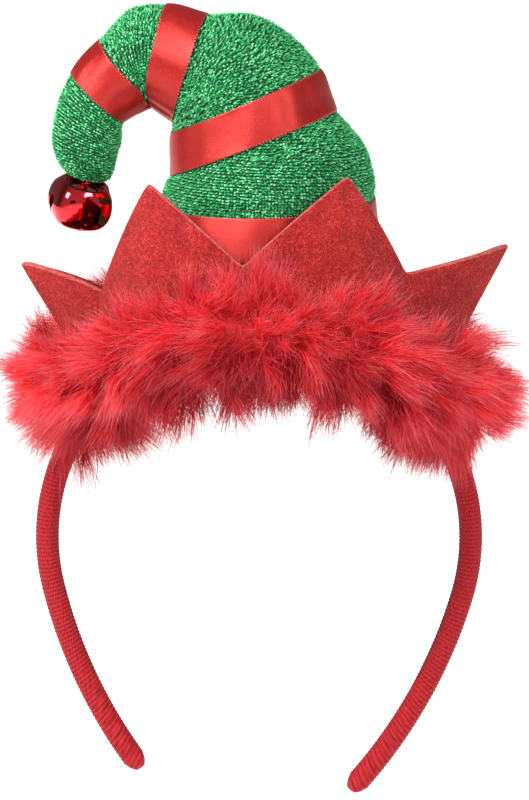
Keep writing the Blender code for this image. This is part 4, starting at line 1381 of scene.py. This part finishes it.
def bell_profile():
    """Radius and height of the bell from its dish to its foot, finely stepped."""
    rows = []
    floor = BELL_DISH_RADIUS * BELL_DISH_FLOOR
    dish_low = BELL_HALF_HEIGHT - BELL_DISH_DEPTH
    for share in (0.35, 0.65, 0.85):
        rise = 1 - math.sqrt(1 - share ** 2)
        wide = floor + (BELL_DISH_RADIUS - BELL_BROW - floor) * share
        rows.append((wide, dish_low + (BELL_DISH_DEPTH - BELL_BROW) * rise))
    for degrees in (150, 120, 90, 60, 35):
        turn = math.radians(degrees)
        wide = BELL_DISH_RADIUS + BELL_BROW / 2 + 1.3 * BELL_BROW * math.cos(turn)
        rows.append((wide, BELL_HALF_HEIGHT - BELL_BROW + BELL_BROW * math.sin(turn)))
    for i in range(15):
        share = 0.52 - 1.52 * i / 14
        height = math.sin(BELL_FOOT_ANGLE * share) / math.sin(BELL_FOOT_ANGLE)
        flank = BELL_FLANK_ABOVE if share > 0.0 else BELL_FLANK_BELOW
        rows.append((BELL_RADIUS * math.cos(BELL_FOOT_ANGLE * share) ** flank, BELL_HALF_HEIGHT * height))
    return rows


def square_share(turn):
    """How far out the rounded square reaches, beside a circle."""
    side = abs(math.cos(turn)) ** BELL_SQUARENESS + abs(math.sin(turn)) ** BELL_SQUARENESS
    return side ** (-1.0 / BELL_SQUARENESS)


def cut_with(piece, tool):
    """Cut one shape out of another and drop the tool."""
    modifier = piece.modifiers.new("cut", "BOOLEAN")
    modifier.operation = "DIFFERENCE"
    modifier.solver = "EXACT"
    modifier.object = tool
    bpy.context.view_layer.objects.active = piece
    bpy.ops.object.modifier_apply(modifier=modifier.name)
    bpy.data.objects.remove(tool, do_unlink=True)


def make_bell():
    """The hollow bell, turned ring by ring, squared, slit and drilled."""
    floor = (0.0, 0.0, BELL_HALF_HEIGHT - BELL_DISH_DEPTH)
    bpy.ops.mesh.primitive_circle_add(
        vertices=BELL_SIDES, radius=BELL_DISH_RADIUS * BELL_DISH_FLOOR, fill_type="TRIFAN", location=floor
    )
    bpy.ops.object.transform_apply(location=True, rotation=True, scale=True)
    bell = shown_object()
    bell.name = "red_bell"
    bpy.ops.object.mode_set(mode="EDIT")
    pick_verts(lambda vert: vert.co.xy.length > BELL_DISH_RADIUS * BELL_DISH_FLOOR * 0.5)
    radius = BELL_DISH_RADIUS * BELL_DISH_FLOOR
    height = floor[2]
    for wide, level in bell_profile():
        bpy.ops.mesh.extrude_region_move(TRANSFORM_OT_translate={"value": (0.0, 0.0, level - height)})
        scale = wide / radius
        bpy.ops.transform.resize(value=(scale, scale, 1.0), center_override=(0.0, 0.0, level))
        radius = wide
        height = level
    bpy.ops.mesh.extrude_region_move(TRANSFORM_OT_translate={"value": (0.0, 0.0, -BELL_FOOT_DROP)})
    bpy.ops.mesh.merge(type="CENTER")
    for k in range(BELL_SIDES // 8 + 1):
        turn = FULL_TURN * k / BELL_SIDES
        share = square_share(turn)

        def on_line(vert):
            spoke = math.atan2(vert.co.y, vert.co.x) - math.pi / 4
            folded = abs((spoke + math.pi / 4) % (math.pi / 2) - math.pi / 4)
            flank = vert.co.z < BELL_HALF_HEIGHT - 2.2 * BELL_BROW and vert.co.xy.length > BELL_DISH_RADIUS
            return flank and abs(folded - turn) < 0.02

        pick_verts(on_line)
        bpy.ops.transform.resize(value=(share, share, 1.0), center_override=(0.0, 0.0, 0.0))
    bpy.ops.mesh.select_all(action="SELECT")
    bpy.ops.mesh.remove_doubles(threshold=0.005 * MM)
    bpy.ops.mesh.normals_make_consistent(inside=False)
    bpy.ops.object.mode_set(mode="OBJECT")
    wall = bell.modifiers.new("wall", "SOLIDIFY")
    wall.thickness = BELL_WALL
    wall.offset = -1.0
    bpy.ops.object.modifier_apply(modifier=wall.name)
    for turn in (math.pi / 4, 3 * math.pi / 4):
        low = (0.0, 0.0, -BELL_HALF_HEIGHT)
        bpy.ops.mesh.primitive_cube_add(size=1.0, location=low, rotation=(0.0, 0.0, turn))
        tool = shown_object()
        tool.scale = (4 * BELL_RADIUS, BELL_SLIT, 2 * BELL_HALF_HEIGHT)
        cut_with(bell, tool)
        bpy.ops.mesh.primitive_cylinder_add(
            vertices=32, radius=BELL_HOLE_RADIUS, depth=4 * BELL_RADIUS, rotation=(0.0, math.pi / 2, turn)
        )
        cut_with(bell, shown_object())
    bpy.ops.object.select_all(action="DESELECT")
    bpy.ops.mesh.primitive_torus_add(
        major_radius=BELL_LOOP_RADIUS,
        minor_radius=BELL_LOOP_WIRE,
        major_segments=32,
        minor_segments=12,
        location=(0.0, 0.0, bell_loop_centre()),
        rotation=(math.pi / 2, 0.0, 0.0),
    )
    bell.select_set(True)
    bpy.context.view_layer.objects.active = bell
    bpy.ops.object.join()
    bell.matrix_world = bell_matrix()
    bpy.ops.object.transform_apply(location=True, rotation=True, scale=True)
    bpy.ops.object.shade_smooth_by_angle(angle=math.radians(35.0))
    bell.data.materials.clear()
    bell.data.materials.append(BELL_RED)
    hold_piece(bell, "jingle_bell")
    bpy.ops.object.select_all(action="DESELECT")


def make_pellet():
    """The loose pellet in the bell, with a cast seam round it."""
    bpy.ops.mesh.primitive_uv_sphere_add(segments=32, ring_count=16, radius=PELLET_RADIUS)
    pellet = shown_object()
    pellet.name = "steel_pellet"
    bpy.ops.object.mode_set(mode="EDIT")
    pick_verts(lambda vert: abs(vert.co.z) < 0.05 * MM)
    bpy.ops.transform.resize(value=(1.012, 1.012, 1.0), center_override=(0.0, 0.0, 0.0))
    bpy.ops.object.mode_set(mode="OBJECT")
    level = -(BELL_HALF_HEIGHT - BELL_WALL) + PELLET_RADIUS + CLEARANCE
    pellet.matrix_world = bell_matrix() @ Matrix.Translation((0.0, 0.0, level))
    bpy.ops.object.transform_apply(location=True, rotation=True, scale=True)
    bpy.ops.object.shade_smooth()
    pellet.data.materials.append(STEEL)
    hold_piece(pellet, "bell_pellet")
    bpy.ops.object.select_all(action="DESELECT")


# Floor, lights and surroundings

FLOOR_Z = -0.152


def make_floor():
    """A flat pale floor under the piece."""
    bpy.ops.mesh.primitive_plane_add(size=12.0, location=(0.0, 0.0, FLOOR_Z))
    bpy.ops.object.transform_apply(location=True, rotation=True, scale=True)
    floor = shown_object()
    floor.name = "pale_floor"
    floor.data.materials.append(FLOOR_WHITE)
    bpy.ops.object.select_all(action="DESELECT")


def add_softbox(name, place, aim, size, power, colour=(1.0, 1.0, 1.0)):
    """A square soft light turned toward a point."""
    data = bpy.data.lights.new(name, "AREA")
    data.shape = "RECTANGLE"
    data.size, data.size_y = size
    data.energy = power
    data.color = colour
    lamp = bpy.data.objects.new(name, data)
    lamp.location = place
    lamp.rotation_euler = (Vector(aim) - Vector(place)).to_track_quat("-Z", "Y").to_euler()
    bpy.context.scene.collection.objects.link(lamp)


# Brightness of the room from the front, behind the camera, to the back
ROOM_STOPS = ((0.010, 0.02), (0.022, 0.86), (0.14, 0.80), (0.45, 0.50), (0.55, 0.14), (0.75, 0.30))
ROOM_STRENGTH = 0.56


def set_surroundings():
    """A pale room, with a small dark spot straight behind the camera."""
    world = bpy.data.worlds.new("room")
    bpy.context.scene.world = world
    world.use_nodes = True
    tree = world.node_tree
    where = add_node(tree, "TexCoord").outputs["Generated"]
    split = add_node(tree, "SeparateXYZ", {"Vector": where})
    back = sum_up(tree, "MULTIPLY", sum_up(tree, "ADD", split.outputs[1], 1.0), 0.5)
    stops = [(place, (bright, bright, bright)) for place, bright in ROOM_STOPS]
    feed(tree, tree.nodes["Background"].inputs["Color"], ramp(tree, back, *stops))
    tree.nodes["Background"].inputs["Strength"].default_value = ROOM_STRENGTH


make_hat()
make_pile()
for ribbon in RIBBONS:
    make_ribbon(*ribbon)
collar_piece = make_collar()
make_fuzz()
make_pad()
make_core()
make_barbs(collar_piece)
make_band()
make_bell()
make_pellet()
make_floor()
add_softbox("key", (-0.84, -0.66, 0.94), (0.0, 0.0, 0.02), (0.45, 0.45), 31.0)
add_softbox("fill", (0.80, -1.00, 0.70), (0.0, 0.0, 0.0), (0.40, 0.40), 12.0)
add_softbox("top", (0.2, -0.1, 1.2), (0.0, 0.0, 0.0), (0.7, 0.7), 0.8)
set_surroundings()
